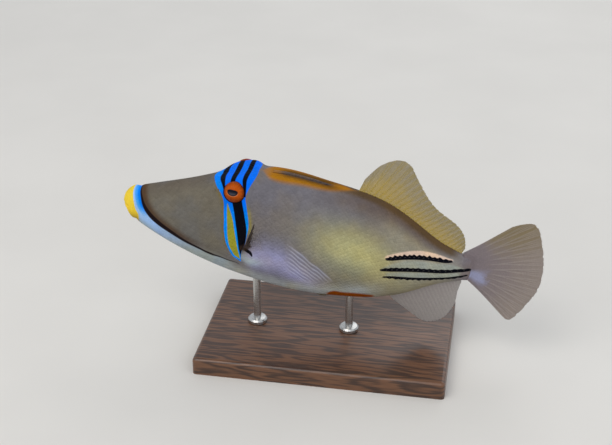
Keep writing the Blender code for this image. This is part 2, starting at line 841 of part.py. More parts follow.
def stand_base(look):
    """A flat base with rounded edges."""
    bm = bmesh.new()
    bmesh.ops.create_cube(bm, size=1.0)
    scale = Vector((BASE_LENGTH * MM, BASE_WIDTH * MM, BASE_HEIGHT * MM))
    bmesh.ops.scale(bm, vec=scale, verts=bm.verts)
    bmesh.ops.translate(bm, vec=(0.0, 0.0, BASE_HEIGHT * MM / 2.0), verts=bm.verts)
    top = [e for e in bm.edges if min(v.co.z for v in e.verts) > BASE_HEIGHT * MM * 0.5]
    upright = [e for e in bm.edges if abs(e.verts[0].co.z - e.verts[1].co.z) > BASE_HEIGHT * MM * 0.5]
    bmesh.ops.bevel(
        bm, geom=top + upright, offset=BASE_BEVEL * MM, segments=3, profile=0.5, affect="EDGES"
    )
    mesh = bpy.data.meshes.new("stand_base")
    bm.to_mesh(mesh)
    bm.free()
    mesh.materials.append(look)
    made = bpy.data.objects.new("stand_base", mesh)
    bpy.context.scene.collection.objects.link(made)
    return made


def stand_rod(name, at, fish, look):
    """A rod from the base to the belly, its top hollowed to the body's shape."""
    spot = fish.matrix_world @ (Vector((at, 0.0, BELLY(at))) * MM) / MM
    bottom = BASE_HEIGHT + GAP
    foot = bottom + ROD_FOOT_HEIGHT
    profile = (
        (ROD_FOOT_RADIUS, bottom),
        (ROD_FOOT_RADIUS, foot - 0.8),
        (ROD_FOOT_RADIUS - 0.8, foot),
        (ROD_RADIUS, foot + 0.4),
        (ROD_RADIUS, spot.z + ROD_REACH),
    )
    frame = Matrix.Translation((spot.x, 0.0, 0.0))
    rod = turned(name, profile, frame, 24, None, look)
    cutter = body_mesh("grown_body", GAP)
    cutter.parent = fish
    combine(rod, [cutter], "DIFFERENCE")
    return rod


def main():
    """Model the fish and its stand."""
    start_clean()
    skin = material("fish_skin", (0.26, 0.25, 0.23), 0.45)
    lip = material("fish_lips", (0.85, 0.66, 0.10), 0.45)
    iris = material("eye_orange", (0.70, 0.13, 0.01), 0.2)
    yellow_fin = material("dorsal_membrane", (0.50, 0.40, 0.17), 0.5)
    pale_fin = material("pale_membrane", (0.42, 0.37, 0.34), 0.5)
    dark_fin = material("folded_membrane", (0.03, 0.02, 0.02), 0.5)
    rust = material("pelvic_rust", (0.38, 0.10, 0.01), 0.6)
    wood = material("stand_wood", (0.10, 0.05, 0.025), 0.4)
    steel = material("stand_steel", (0.62, 0.62, 0.62), 0.3, 1.0)

    fish = bpy.data.objects.new("fish", None)
    bpy.context.scene.collection.objects.link(fish)
    body = body_mesh("whole_body")
    half = GAP / 2.0
    lip_way = Vector((1.0, 0.0, LIP_PLANE_SLANT)).normalized()
    lip_at = Vector((LIP_PLANE_AT, 0.0, 0.0))
    tailward, headward = Vector((1.0, 0.0, 0.0)), Vector((-1.0, 0.0, 0.0))
    before_lips = (lip_at - lip_way * half, lip_way)
    behind_lips = (lip_at + lip_way * half, -lip_way)
    upper = ((0.0, 0.0, MOUTH_LEVEL + MOUTH_OPENING / 2.0), (0.0, 0.0, -1.0))
    lower = ((0.0, 0.0, MOUTH_LEVEL - MOUTH_OPENING / 2.0), (0.0, 0.0, 1.0))
    part_of(body, "upper_lip", (before_lips, upper), lip, fish)
    part_of(body, "lower_lip", (before_lips, lower), lip, fish)
    gill_front = ((GILL_PLANE_AT - half, 0.0, 0.0), tailward)
    gill_rear = ((GILL_PLANE_AT + half, 0.0, 0.0), headward)
    tail_front = ((TAIL_PLANE_AT - half, 0.0, 0.0), tailward)
    tail_rear = ((TAIL_PLANE_AT + half, 0.0, 0.0), headward)
    head = part_of(body, "head", (behind_lips, gill_front), skin, fish)
    trunk = part_of(body, "trunk", (gill_rear, tail_front), skin, fish)
    tail = part_of(body, "tail", (tail_rear,), skin, fish)
    bpy.data.objects.remove(body, do_unlink=True)

    head_fittings(head, fish)
    gill_slits(head, fish)
    eyes(fish, iris)
    plates(trunk, fish)
    first_dorsal_fin(trunk, dark_fin, fish)
    tail_spines(tail, fish)
    midline_fin(
        "second_dorsal_fin", SECOND_DORSAL_BASE, SECOND_DORSAL_TIPS, SECOND_DORSAL_RAYS,
        SECOND_DORSAL_LEAN, BACK, GAP, yellow_fin, fish,
    )
    midline_fin(
        "anal_fin", ANAL_BASE, ANAL_TIPS, ANAL_RAYS, ANAL_LEAN, BELLY, -GAP, pale_fin, fish
    )
    caudal_fin(pale_fin, fish)
    for side in (-1, 1):
        pectoral_fin(side, pale_fin, fish)
    pelvic_spine(rust, fish)

    place_fish(fish)
    stand_base(wood)
    stand_rod("stand_rod_front", ROD_FRONT_AT, fish, steel)
    stand_rod("stand_rod_rear", ROD_REAR_AT, fish, steel)


main()
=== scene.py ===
"""Looks of a life-size picasso triggerfish museum model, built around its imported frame.

The fish has its own axes in millimetres: s runs from the snout tip to the tail, y is
positive on its right side and z points to its back. A place on the skin is (s, girth),
where girth is the distance round the body from the middle of the back.
"""

from __future__ import annotations

import json
import logging
import math
from collections.abc import Callable, Sequence
from dataclasses import dataclass, field
from enum import Enum

import bmesh
import bpy
import numpy as np
from mathutils import Matrix, Vector

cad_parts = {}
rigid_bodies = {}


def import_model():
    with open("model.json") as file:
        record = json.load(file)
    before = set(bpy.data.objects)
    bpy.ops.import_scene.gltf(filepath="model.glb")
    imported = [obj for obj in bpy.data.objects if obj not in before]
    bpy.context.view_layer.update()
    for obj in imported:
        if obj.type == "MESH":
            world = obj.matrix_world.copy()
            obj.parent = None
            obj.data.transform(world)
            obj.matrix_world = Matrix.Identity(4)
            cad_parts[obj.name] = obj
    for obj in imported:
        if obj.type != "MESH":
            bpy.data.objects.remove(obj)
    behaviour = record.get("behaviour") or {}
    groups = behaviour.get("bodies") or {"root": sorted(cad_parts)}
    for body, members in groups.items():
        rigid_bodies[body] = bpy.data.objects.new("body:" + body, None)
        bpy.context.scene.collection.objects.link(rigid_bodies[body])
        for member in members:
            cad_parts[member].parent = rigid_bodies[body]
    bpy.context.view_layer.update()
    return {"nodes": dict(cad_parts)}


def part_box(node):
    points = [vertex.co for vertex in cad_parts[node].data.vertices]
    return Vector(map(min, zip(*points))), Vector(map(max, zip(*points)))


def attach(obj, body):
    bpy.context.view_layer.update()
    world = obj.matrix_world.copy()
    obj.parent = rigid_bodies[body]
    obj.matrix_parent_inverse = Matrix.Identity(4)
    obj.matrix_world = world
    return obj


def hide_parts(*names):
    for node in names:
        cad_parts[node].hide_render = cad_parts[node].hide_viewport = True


MM = 0.001
LOG = logging.getLogger("triggerfish")

Array = np.ndarray
Place = tuple[float, float]
Paint = tuple[int, int, int]
Edge = Callable[[Array], Array]
Socket = bpy.types.NodeSocket

# Ways in the fish's own axes.
TAILWARD = np.array((1.0, 0.0, 0.0))
SIDEWAYS = np.array((0.0, 1.0, 0.0))


class Side(Enum):
    """The two sides of the fish, by the sign of y."""

    LEFT = -1
    RIGHT = 1


class Slot(Enum):
    """The record's material slots."""

    SKIN = "skin"
    EYES = "eyes"
    FINS = "fins"
    SPINES = "spines"
    WOOD = "wood"
    STEEL = "steel"


def linear(paint: Paint) -> tuple[float, float, float, float]:
    """An 8-bit display colour as linear light with full alpha."""
    parts = np.array(paint, float) / 255.0
    light = np.where(parts <= 0.04045, parts / 12.92, ((parts + 0.055) / 1.055) ** 2.4)
    return (*(float(x) for x in light), 1.0)


def smooth(value: Array | float, low: float, high: float) -> Array:
    """Rise evenly from 0 at low to 1 at high.

    Args:
        value: What is compared with the two ends.
        low: Where the ramp starts.
        high: Where the ramp ends.

    Returns:
        The share, with soft starts and ends.
    """
    share = np.clip((np.asarray(value, float) - low) / (high - low), 0.0, 1.0)
    return share * share * (3.0 - 2.0 * share)


def fall(value: Array | float, low: float, high: float) -> Array:
    """Drop evenly from 1 at low to 0 at high.

    Args:
        value: What is compared with the two ends.
        low: Where the slope starts.
        high: Where the slope ends.

    Returns:
        The share, with soft starts and ends.
    """
    return 1.0 - smooth(value, low, high)


def bell(value: Array | float, centre: float, spread: float) -> Array:
    """1 at the centre, fading to 0 on both sides."""
    return np.exp(-(((np.asarray(value, float) - centre) / spread) ** 2))


def unit(ways: Array) -> Array:
    """Directions scaled to length 1."""
    return ways / np.maximum(np.linalg.norm(ways, axis=-1, keepdims=True), 1e-12)


class Curve:
    """A smooth line through a few named points, level beyond its ends."""

    def __init__(self, places: Sequence[float], values: Sequence[float]) -> None:
        """Fit a natural spline.

        Args:
            places: Rising positions of the points.
            values: The value at each position.
        """
        self.x, self.y = np.array(places, float), np.array(values, float)
        step = np.diff(self.x)
        rise = np.diff(self.y) / step
        rows = np.eye(len(self.x))
        right = np.zeros(len(self.x))
        for i in range(1, len(self.x) - 1):
            rows[i, i - 1 : i + 2] = step[i - 1], 2.0 * (step[i - 1] + step[i]), step[i]
            right[i] = 6.0 * (rise[i] - rise[i - 1])
        self.bend = np.linalg.solve(rows, right)

    def __call__(self, at: Array | float) -> Array:
        """Read the line.

        Args:
            at: Positions to read.

        Returns:
            The value at each.
        """
        at = np.clip(at, self.x[0], self.x[-1])
        i = np.clip(np.searchsorted(self.x, at) - 1, 0, len(self.x) - 2)
        h = self.x[i + 1] - self.x[i]
        left = (self.x[i + 1] - at) / h
        right = 1.0 - left
        curved = (left**3 - left) * self.bend[i] + (right**3 - right) * self.bend[i + 1]
        return left * self.y[i] + right * self.y[i + 1] + curved * h * h / 6.0


@dataclass
class BodyShape:
    """The fish's bare form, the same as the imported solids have."""

    # Distance from the snout, back line, belly line, half width, and the fullness of
    # the upper and of the lower half of the section.
    stations: tuple[tuple[float, ...], ...] = (
        (0.0, 5.8, -6.8, 5.5, 0.80, 0.85),
        (8.0, 8.8, -11.5, 7.6, 0.88, 0.90),
        (20.0, 13.3, -17.7, 9.8, 0.90, 0.95),
        (40.0, 20.6, -25.4, 13.2, 0.78, 1.00),
        (60.0, 28.7, -30.6, 16.4, 0.62, 1.00),
        (76.0, 33.3, -33.3, 18.2, 0.62, 1.00),
        (92.0, 34.5, -35.4, 18.5, 0.66, 1.05),
        (112.0, 33.0, -36.0, 17.6, 0.78, 1.10),
        (132.0, 31.2, -34.0, 15.0, 0.96, 1.10),
        (150.0, 26.0, -30.4, 11.8, 1.05, 1.10),
        (168.0, 16.0, -21.6, 8.0, 1.05, 1.05),
        (184.0, 7.9, -12.4, 5.2, 1.00, 1.00),
        (199.0, 6.4, -8.6, 1.7, 0.90, 0.90),
    )
    nose_length: float = 7.0
    # The snout rounds off by this power, and is blunter above than below.
    nose_power: float = 2.4
    nose_blunter: float = 0.7
    # Brow over the eyes: height, place, half length, its angle from the back and spread.
    brow: tuple[float, ...] = (4.4, 64.0, 10.3, 0.62, 0.50)
    brow_out: float = 0.85
    brow_up: float = 0.87
    brow_start: float = 2.5
    # Lips and the crease behind them: share of the section, place and length.
    lips: tuple[float, float, float] = (0.069, 4.2, 2.4)
    crease: tuple[float, float, float] = (0.05, 8.3, 1.3)
    # Rear edge of the gill cover: rise, place, length, level and reach.
    flap: tuple[float, ...] = (0.7, 72.4, 1.5, -7.5, 6.0)

    def __post_init__(self) -> None:
        """Fit the lines, and tabulate the way round each section."""
        columns = list(zip(*self.stations, strict=True))
        lines = [Curve(columns[0], values) for values in columns[1:]]
        self.back, self.belly, self.width, self.upper, self.lower = lines
        self.length = columns[0][-1]
        turns = math.pi * (1.0 - np.cos(np.linspace(0.0, math.pi, 721))) / 2.0
        self.rings = np.linspace(0.004, self.length, 400)
        self.shares = np.linspace(0.0, 1.0, 401)
        ring = self.bare(self.rings[:, None], turns[None, :])
        steps = np.linalg.norm(np.diff(ring, axis=1), axis=-1)
        girths = np.concatenate((np.zeros((len(steps), 1)), np.cumsum(steps, 1)), 1)
        self.half = girths[:, -1]
        self.turns = np.stack([np.interp(self.shares * g[-1], g, turns) for g in girths])

    def bare(self, s: Array, angle: Array) -> Array:
        """Points of the bare form.

        Args:
            s: Distances from the snout.
            angle: Angles round the section: 0 is the back and pi the belly, positive
                on the right side.

        Returns:
            One point for each pair.
        """
        s, angle = np.broadcast_arrays(np.asarray(s, float), np.asarray(angle, float))
        back, belly = self.back(s), self.belly(s)
        up, side = np.cos(angle), np.sin(angle)
        power = self.nose_power + self.nose_blunter * up
        ahead = 1.0 - np.clip(s / self.nose_length, 0.0, 1.0)
        rounding = (1.0 - ahead**power) ** (1.0 / power)
        rounding = rounding * (1.0 + self.lips[0] * bell(s, *self.lips[1:]))
        rounding = rounding * (1.0 - self.crease[0] * bell(s, *self.crease[1:]))
        fullness = np.where(up > 0.0, self.upper(s), self.lower(s))
        z = (back + belly) / 2.0 + (back - belly) / 2.0 * rounding * up
        y = self.width(s) * rounding * np.sign(side) * np.abs(side) ** fullness
        turn = np.abs(np.remainder(angle + math.pi, 2.0 * math.pi) - math.pi)
        rise, place, length, at, spread = self.brow
        brow = rise * np.exp(-(((s - place) / length) ** 4)) * bell(turn, at, spread)
        y = y + self.brow_out * brow * np.clip(self.brow_start * side, -1.0, 1.0)
        z = z + self.brow_up * brow
        rise, place, length, level, reach = self.flap
        y = y + np.sign(side) * rise * bell(s, place, length) * bell(z, level, reach)
        return np.stack((s, y, z), -1)

    def surface(self, s: Array, angle: Array) -> tuple[Array, Array]:
        """Points of the bare form with their outward directions.

        Args:
            s: Distances from the snout.
            angle: Angles round the section.

        Returns:
            The points and the directions.
        """
        step, turn = 0.02, 0.001
        along = self.bare(s + step, angle) - self.bare(np.maximum(s - step, 0.0), angle)
        about = self.bare(s, angle + turn) - self.bare(s, angle - turn)
        return self.bare(s, angle), unit(np.cross(along, about))

    def half_girth(self, s: Array | float) -> Array:
        """The way round one side, from the back to the belly."""
        return np.interp(s, self.rings, self.half)

    def angle(self, s: Array, share: Array) -> Array:
        """Angles at signed shares of the half girth.

        Args:
            s: Distances from the snout.
            share: From 0 at the back to 1 at the belly, negative on the left side.

        Returns:
            The signed angles.
        """
        row = np.clip((s - self.rings[0]) / (self.rings[1] - self.rings[0]), 0.0, len(self.rings) - 1.001)
        column = np.clip(np.abs(share) * (len(self.shares) - 1), 0.0, len(self.shares) - 1.001)
        i, j = row.astype(int), column.astype(int)
        a, b = row - i, column - j
        table = self.turns
        near = table[i, j] * (1.0 - b) + table[i, j + 1] * b
        far = table[i + 1, j] * (1.0 - b) + table[i + 1, j + 1] * b
        turn = near * (1.0 - a) + far * a
        return np.where(np.abs(share) >= 1.0, math.pi, turn) * np.where(share < 0.0, -1.0, 1.0)

    def angle_at_level(self, s: Array, z: Array, side: Side) -> Array:
        """Angles at which the skin has a level.

        Args:
            s: Distances from the snout.
            z: Levels.
            side: Which side of the fish.

        Returns:
            The signed angles.
        """
        s, z = np.broadcast_arrays(np.asarray(s, float), np.asarray(z, float))
        low, high = np.full(s.shape, 0.02), np.full(s.shape, math.pi - 0.02)
        for _ in range(40):
            middle = (low + high) / 2.0
            above = self.bare(s, middle)[..., 2] > z
            low, high = np.where(above, middle, low), np.where(above, high, middle)
        return side.value * low

    def girth_at_level(self, s: float, z: float) -> float:
        """The girth of the place on either side that has a level.

        Args:
            s: Distance from the snout.
            z: Level.

        Returns:
            The way from the middle of the back.
        """
        angle = float(self.angle_at_level(s, z, Side.RIGHT))
        row = int(round((s - self.rings[0]) / (self.rings[1] - self.rings[0])))
        return float(np.interp(angle, self.turns[row], self.shares * self.half[row]))


@dataclass(frozen=True)
class Axes:
    """A small frame on the skin: x runs tailward and z out of it."""

    centre: Array
    x: Array
    y: Array
    z: Array

    @classmethod
    def at(cls, centre: Array, out: Array) -> Axes:
        """Axes at a point.

        Args:
            centre: The point.
            out: The way that z points.

        Returns:
            The axes.
        """
        z = unit(np.asarray(out, float))
        x = unit(TAILWARD - z * TAILWARD.dot(z))
        return cls(np.asarray(centre, float), x, np.cross(z, x), z)

    def out(self, local: Array) -> Array:
        """Local points in the fish's axes."""
        return self.centre + local @ np.stack((self.x, self.y, self.z))

    def into(self, points: Array) -> Array:
        """Points of the fish in these axes."""
        return (points - self.centre) @ np.stack((self.x, self.y, self.z)).T


@dataclass(frozen=True)
class EyeSocket:
    """Where an eye sits, and how the lid round it is shaped."""

    side: Side
    axes: Axes
    radius: float = 6.0
    depth: float = 4.2
    sink: float = 1.6
    lid_crest: float = 6.4
    lid_rise: float = 0.14
    # The wall round the ball: its foot and its upper edge.
    wall: tuple[float, float] = (5.0, 5.75)
    # Width of the black ring beside the eye and under it, which is painted shade of the socket, and the gap inside
    # it.
    shade_ring_width: float = 0.35
    shade_ring_gap: float = 0.1
    # Points deeper than this belong to the other side, which counts as far away.
    back_limit: float = -9.0
    far: float = 99.0

    @classmethod
    def on(cls, body: BodyShape, side: Side) -> EyeSocket:
        """The socket of one side.

        Args:
            body: The bare form.
            side: Which side.

        Returns:
            The socket.
        """
        at, level, up, ahead = 64.5, 25.6, math.radians(17.0), math.radians(6.0)
        centre = body.bare(at, body.angle_at_level(at, level, side))
        gaze = np.array((-math.sin(ahead), side.value * math.cos(up), math.sin(up)))
        return cls(side, Axes.at(centre, gaze))

    def reach(self, points: Array) -> Array:
        """How far points lie from the line of sight, far away on the other side."""
        local = self.axes.into(points)
        return np.where(local[:, 2] > self.back_limit, np.hypot(local[:, 0], local[:, 1]), self.far)

    def ring(self, points: Array) -> Array:
        """Distance inside the thin black ring under and beside the eye, painted shade of the socket.

        Args:
            points: Skin points.

        Returns:
            Millimetres, positive inside.
        """
        local = self.axes.into(points)
        reach = self.reach(points)
        above = -self.side.value * local[:, 1] / np.maximum(reach, 0.1)
        outer = self.wall[1] + self.shade_ring_gap + self.shade_ring_width * fall(above, 0.2, 0.6)
        return outer - reach

    def shape(self, points: Array) -> Array:
        """Sink the skin behind the eyeball and raise a low lid round it.

        Args:
            points: Skin points.

        Returns:
            The same points, moved along the line of sight near the eye.
        """
        local = self.axes.into(points)
        reach = self.reach(points)
        rim = self.lid_rise * bell(reach, self.lid_crest, 0.6)
        pit = -1.1 * self.depth
        drawn = pit + (local[:, 2] + rim - pit) * smooth(reach, *self.wall)
        local[:, 2] = np.where(reach < self.lid_crest + 2.0, drawn, local[:, 2])
        return self.axes.out(local)


@dataclass(frozen=True)
class FishFrame:
    """The fish's axes as the stand holds them."""

    origin: Array
    nose_up: float = 7.4

    @classmethod
    def from_eyes(cls, sockets: Sequence[EyeSocket]) -> FishFrame:
        """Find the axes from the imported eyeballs.

        Args:
            sockets: The sockets of both sides.

        Returns:
            The frame in which both eyes are in place.
        """
        level = cls(np.zeros(3))
        shifts = []
        for socket in sockets:
            low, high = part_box(f"eye_{socket.side.name.lower()}")
            ball = socket.axes.centre - socket.sink * socket.axes.z
            shifts.append(np.array((low + high) / 2.0) - level.world(ball[None])[0])
        return cls(np.mean(shifts, axis=0))

    def turn(self, ways: Array) -> Array:
        """Directions of the fish in the row's axes."""
        c, s = math.cos(math.radians(self.nose_up)), math.sin(math.radians(self.nose_up))
        x, y, z = np.moveaxis(np.asarray(ways, float), -1, 0)
        return np.stack((x * c + z * s, y, -x * s + z * c), -1)

    def world(self, points: Array) -> Array:
        """Points of the fish, in millimetres, as metres in the row's axes."""
        return self.origin + self.turn(points) * MM


@dataclass(frozen=True)
class SkinLine:
    """A line drawn on the skin through a few (s, girth) places."""

    places: tuple[Place, ...]
    steps: int = 40

    def path(self) -> Array:
        """The line as many short straight steps."""
        points = np.array(self.places, float)
        way = np.concatenate(([0.0], np.cumsum(np.linalg.norm(np.diff(points, axis=0), axis=1))))
        at = np.linspace(0.0, way[-1], self.steps + 1)
        return np.stack((Curve(way, points[:, 0])(at), Curve(way, points[:, 1])(at)), -1)

    def measure(self, s: Array, girth: Array) -> tuple[Array, Array]:
        """Offset from the line, and the share along it.

        Args:
            s: Distances from the snout.
            girth: Ways from the middle of the back.

        Returns:
            Signed offsets, positive towards the back or tail, and shares from 0 to 1.
        """
        path = self.path()
        best = np.full(s.shape, 1e9)
        offset, share = best.copy(), np.zeros(s.shape)
        for i in range(self.steps):
            start, way = path[i], path[i + 1] - path[i]
            length = float(way @ way)
            along = np.clip(((s - start[0]) * way[0] + (girth - start[1]) * way[1]) / length, 0.0, 1.0)
            ds, dg = s - start[0] - along * way[0], girth - start[1] - along * way[1]
            far = np.hypot(ds, dg)
            closer = far < best
            sign = np.where(way[1] * ds - way[0] * dg < 0.0, -1.0, 1.0)
            best = np.where(closer, far, best)
            offset = np.where(closer, far * sign, offset)
            share = np.where(closer, (i + along) / self.steps, share)
        return offset, share


@dataclass(frozen=True)
class Bar:
    """A stripe that runs down the side, between a front and a rear edge."""

    front: tuple[Place, ...]
    rear: tuple[Place, ...]
    top: float = -9.0
    bottom: float = 99.0

    def inside(self, s: Array, girth: Array) -> Array:
        """Distance inside the stripe.

        Args:
            s: Distances from the snout.
            girth: Ways from the middle of the back.

        Returns:
            Millimetres, positive inside.
        """
        edges = [Curve([p[1] for p in edge], [p[0] for p in edge])(girth) for edge in (self.front, self.rear)]
        across = np.minimum(s - edges[0], edges[1] - s)
        return np.minimum(across, np.minimum(girth - self.top, self.bottom - girth))


@dataclass(frozen=True)
class SpineRow:
    """One row of thorns on the side of the tail, with the pale band above it."""

    line: SkinLine
    top: SkinLine
    count: int
    half_height: float
    # Height of the teeth; below zero they stand on the lower edge.
    teeth: float

    def inside(self, s: Array, girth: Array) -> tuple[Array, Array]:
        """Distances inside the black row and inside its pale band.

        Args:
            s: Distances from the snout.
            girth: Ways from the middle of the back.

        Returns:
            Millimetres, positive inside.
        """
        offset, share = self.line.measure(s, girth)
        over, _ = self.top.measure(s, girth)
        taper = (smooth(share, -0.06, 0.12) * fall(share, 0.88, 1.06)) ** 0.5
        tooth = abs(self.teeth) * (np.cos(2.0 * math.pi * share * (self.count - 1)) + 0.5 * np.sin(share * 47.0))
        tooth = tooth * smooth(offset * np.sign(self.teeth), -0.4, 0.4)
        black = (self.half_height + tooth) * taper - np.abs(offset)
        places = self.top.path()[:, 0]
        ends = np.minimum(s - places[0], places[-1] - s)
        return black, np.minimum(np.minimum(offset - 0.4 * self.half_height, -over), 0.5 * ends)


@dataclass
class Markings:
    """Every marking of the skin, as fields over (s, girth).

    A field with a crisp edge is a distance in millimetres, positive inside. A soft one
    is a share from 0 to 1.
    """

    body: BodyShape
    rows: tuple[SpineRow, ...] = (
        SpineRow(
            SkinLine(((151.0, 29.6), (158.4, 23.3), (166.0, 17.3), (176.7, 10.5), (186.0, 6.6))),
            SkinLine(((150.2, 27.9), (160.2, 18.4), (170.7, 10.2), (179.0, 6.6), (186.5, 5.3))),
            14,
            1.1,
            0.32,
        ),
        SpineRow(
            SkinLine(((149.0, 37.8), (159.0, 30.5), (172.7, 20.4), (182.7, 14.3), (193.0, 9.6), (199.0, 8.0))),
            SkinLine(
                (
                    (149.6, 36.4), (156.1, 28.3), (161.5, 23.0), (169.4, 17.0), (177.4, 12.3), (182.7, 9.6),
                    (188.0, 8.2), (193.0, 8.4),
                )
            ),
            17,
            1.05,
            0.16,
        ),
        SpineRow(
            SkinLine(((151.0, 41.3), (163.0, 33.4), (171.0, 27.6), (179.0, 21.9), (187.6, 16.8), (195.7, 12.3))),
            SkinLine(((152.4, 37.4), (163.0, 29.1), (173.2, 21.4), (182.4, 15.8), (191.7, 11.3))),
            15,
            0.8,
            -0.24,
        ),
    )
    lip_edge: tuple[Place, ...] = (
        (5.4, 0.0), (5.7, 3.8), (6.3, 7.2), (7.4, 10.9), (8.8, 15.2), (10.6, 19.4), (10.5, 22.3), (9.4, 31.0),
    )
    cheek_line: SkinLine = SkinLine(
        (
            (9.6, 0.0), (10.0, 3.8), (11.4, 8.3), (12.8, 11.9), (14.8, 15.7), (17.1, 19.1), (20.7, 23.5),
            (25.9, 28.7), (31.3, 33.6), (37.2, 39.0), (43.5, 44.2), (50.0, 49.6), (53.7, 54.2), (57.1, 59.2),
            (61.9, 63.0), (66.8, 65.5), (71.3, 66.3),
        ),
        80,
    )
    # Half width of the cheek line by the share along it.
    cheek_width: tuple[Place, ...] = (
        (0.0, 0.35), (0.1, 0.6), (0.22, 1.15), (0.34, 1.25), (0.5, 0.95), (0.65, 0.7), (0.8, 0.5), (0.92, 0.4),
        (1.0, 0.3),
    )
    eye_fan: Bar = Bar(
        (
            (50.0, 0.0), (50.8, 4.0), (52.3, 8.2), (54.5, 13.1), (56.5, 16.9), (58.2, 20.6), (59.4, 24.2),
            (60.2, 31.4), (60.8, 36.4), (61.1, 41.1), (61.9, 46.0), (62.8, 50.2), (64.8, 55.7), (67.0, 60.3),
            (69.9, 62.8), (72.1, 63.6),
        ),
        (
            (74.1, 0.0), (74.4, 4.2), (74.1, 9.0), (72.8, 14.8), (72.0, 17.8), (71.4, 20.4), (71.3, 23.8),
            (71.9, 25.8), (72.7, 28.7), (74.1, 33.7), (74.7, 39.3), (74.4, 43.3), (74.1, 47.0), (73.6, 50.6),
            (73.0, 52.6), (72.4, 63.6),
        ),
        bottom=63.6,
    )
    wedge: Bar = Bar(
        (
            (61.6, 26.2), (61.8, 30.3), (62.3, 36.0), (62.9, 41.5), (63.5, 46.5), (64.4, 51.0), (65.7, 55.2),
            (67.6, 59.0), (69.8, 61.3), (72.0, 62.2),
        ),
        (
            (61.8, 26.2), (63.4, 30.5), (65.5, 36.5), (67.0, 43.0), (68.5, 49.2), (69.5, 53.2), (70.5, 56.8),
            (71.5, 59.8), (72.1, 62.2),
        ),
        top=26.2,
        bottom=62.3,
    )
    black_bars: tuple[Bar, ...] = (
        Bar(
            ((54.3, 0.0), (54.1, 2.8), (55.1, 8.7), (56.8, 13.0), (58.5, 17.0)),
            ((57.4, 0.0), (57.3, 5.2), (58.1, 11.1), (58.8, 14.4), (59.7, 17.5)),
            bottom=18.5,
        ),
        Bar(
            ((61.0, 0.0), (61.1, 3.2), (61.1, 9.9), (61.4, 13.1)),
            ((64.1, 0.0), (64.2, 4.2), (63.9, 10.4), (63.9, 13.5)),
            bottom=17.5,
        ),
        Bar(
            ((67.7, 0.0), (67.6, 5.2), (67.6, 10.9), (67.9, 13.8), (69.0, 17.5), (70.0, 21.5)),
            ((70.4, 0.0), (70.4, 4.9), (70.2, 10.7), (70.2, 13.6), (70.7, 17.0), (71.2, 21.5)),
            bottom=22.5,
        ),
        Bar(
            (
                (63.8, 24.0), (64.5, 26.7), (65.9, 32.3), (67.6, 40.2), (69.0, 46.4), (69.9, 50.9), (70.7, 54.6),
                (71.6, 57.4), (72.5, 63.6),
            ),
            (
                (69.4, 24.0), (69.9, 26.6), (71.3, 31.3), (72.4, 35.0), (73.6, 38.8), (74.1, 42.8), (74.1, 47.0),
                (73.6, 50.6), (73.0, 52.6), (72.6, 63.6),
            ),
            top=23.0,
            bottom=63.2,
        ),
    )
    # Black spot behind the pectoral fin, and the dark foot of the fin: line and half width.
    axil: SkinLine = SkinLine(((75.0, 52.3), (76.9, 52.7), (78.4, 55.2)))
    axil_half: float = 1.3
    fin_foot: SkinLine = SkinLine(((72.6, 53.2), (74.4, 50.8), (76.2, 48.4)))
    fin_foot_half: float = 1.5
    saddle_edge: tuple[Place, ...] = (
        (76.1, 0.0), (80.1, 6.1), (84.4, 8.3), (90.1, 8.7), (95.4, 8.1), (101.0, 7.3), (111.6, 6.0), (117.1, 4.4),
        (122.0, 2.2), (127.0, -0.8),
    )
    belly_edge: tuple[Place, ...] = (
        (121.5, 72.6), (123.4, 69.1), (129.0, 66.5), (134.4, 64.8), (140.0, 62.6), (147.5, 60.1),
    )
    # The uppermost crest of the folds on the lower flank, their count and pitch, and how
    # much sooner each next one ends.
    fold_line: SkinLine = SkinLine(
        ((95.0, 42.6), (101.0, 44.6), (107.0, 47.2), (113.0, 50.7), (119.0, 54.6), (126.0, 60.0))
    )
    fold_count: int = 7
    fold_pitch: float = 2.3
    fold_ends: tuple[float, float, float] = (99.0, 125.0, 2.3)

    def folds(self, s: Array, girth: Array) -> tuple[Array, Array]:
        """Fine creases of the lower flank.

        Args:
            s: Distances from the snout.
            girth: Ways from the middle of the back.

        Returns:
            How near each place is to a crest, and how far it lies in the creased zone,
            both from 0 to 1.
        """
        offset, share = self.fold_line.measure(s, girth)
        wander = 0.3 * np.sin(share * 11.0) + 0.18 * np.sin(share * 23.0 + 0.7 * offset)
        phase = (wander - offset) / self.fold_pitch
        start, end, sooner = self.fold_ends
        zone = smooth(phase, -0.7, 0.1) * fall(phase, self.fold_count - 1.2, self.fold_count - 0.1)
        zone = zone * smooth(s, start - 3.5, start + 3.0) * fall(s + sooner * phase, end - 5.0, end + 1.5)
        fine = 0.5 + 0.5 * np.cos(2.0 * math.pi * phase)
        return (0.8 * fine**2.2 + 0.2 * (0.5 + 0.5 * np.cos(4.0 * math.pi * phase + 1.0)) ** 2) * zone, zone

    def fields(self, s: Array, girth: Array) -> dict[str, Array]:
        """Every marking at each place.

        Args:
            s: Distances from the snout.
            girth: Ways from the middle of the back.

        Returns:
            Field name to values.
        """
        half = self.body.half_girth(s)
        low = half - girth
        lip = Curve([p[1] for p in self.lip_edge], [p[0] for p in self.lip_edge])(girth) - s
        cheek, along = self.cheek_line.measure(s, girth)
        made = self.head_fields(s, girth, lip, cheek, along)
        made.update(self.body_fields(s, girth, low))
        black = [bar.inside(s, girth) for bar in self.black_bars]
        off, share = self.axil.measure(s, girth)
        black.append(self.axil_half * (1.0 - 0.75 * share**2) - np.abs(off))
        off, _ = self.fin_foot.measure(s, girth)
        made["fin_foot"] = self.fin_foot_half - np.abs(off)
        inside = [row.inside(s, girth) for row in self.rows]
        made["black"] = np.max(black + [pair[0] for pair in inside], axis=0)
        made["row_warm"] = inside[0][1]
        made["row_pale"] = np.maximum(inside[1][1], inside[2][1])
        return made

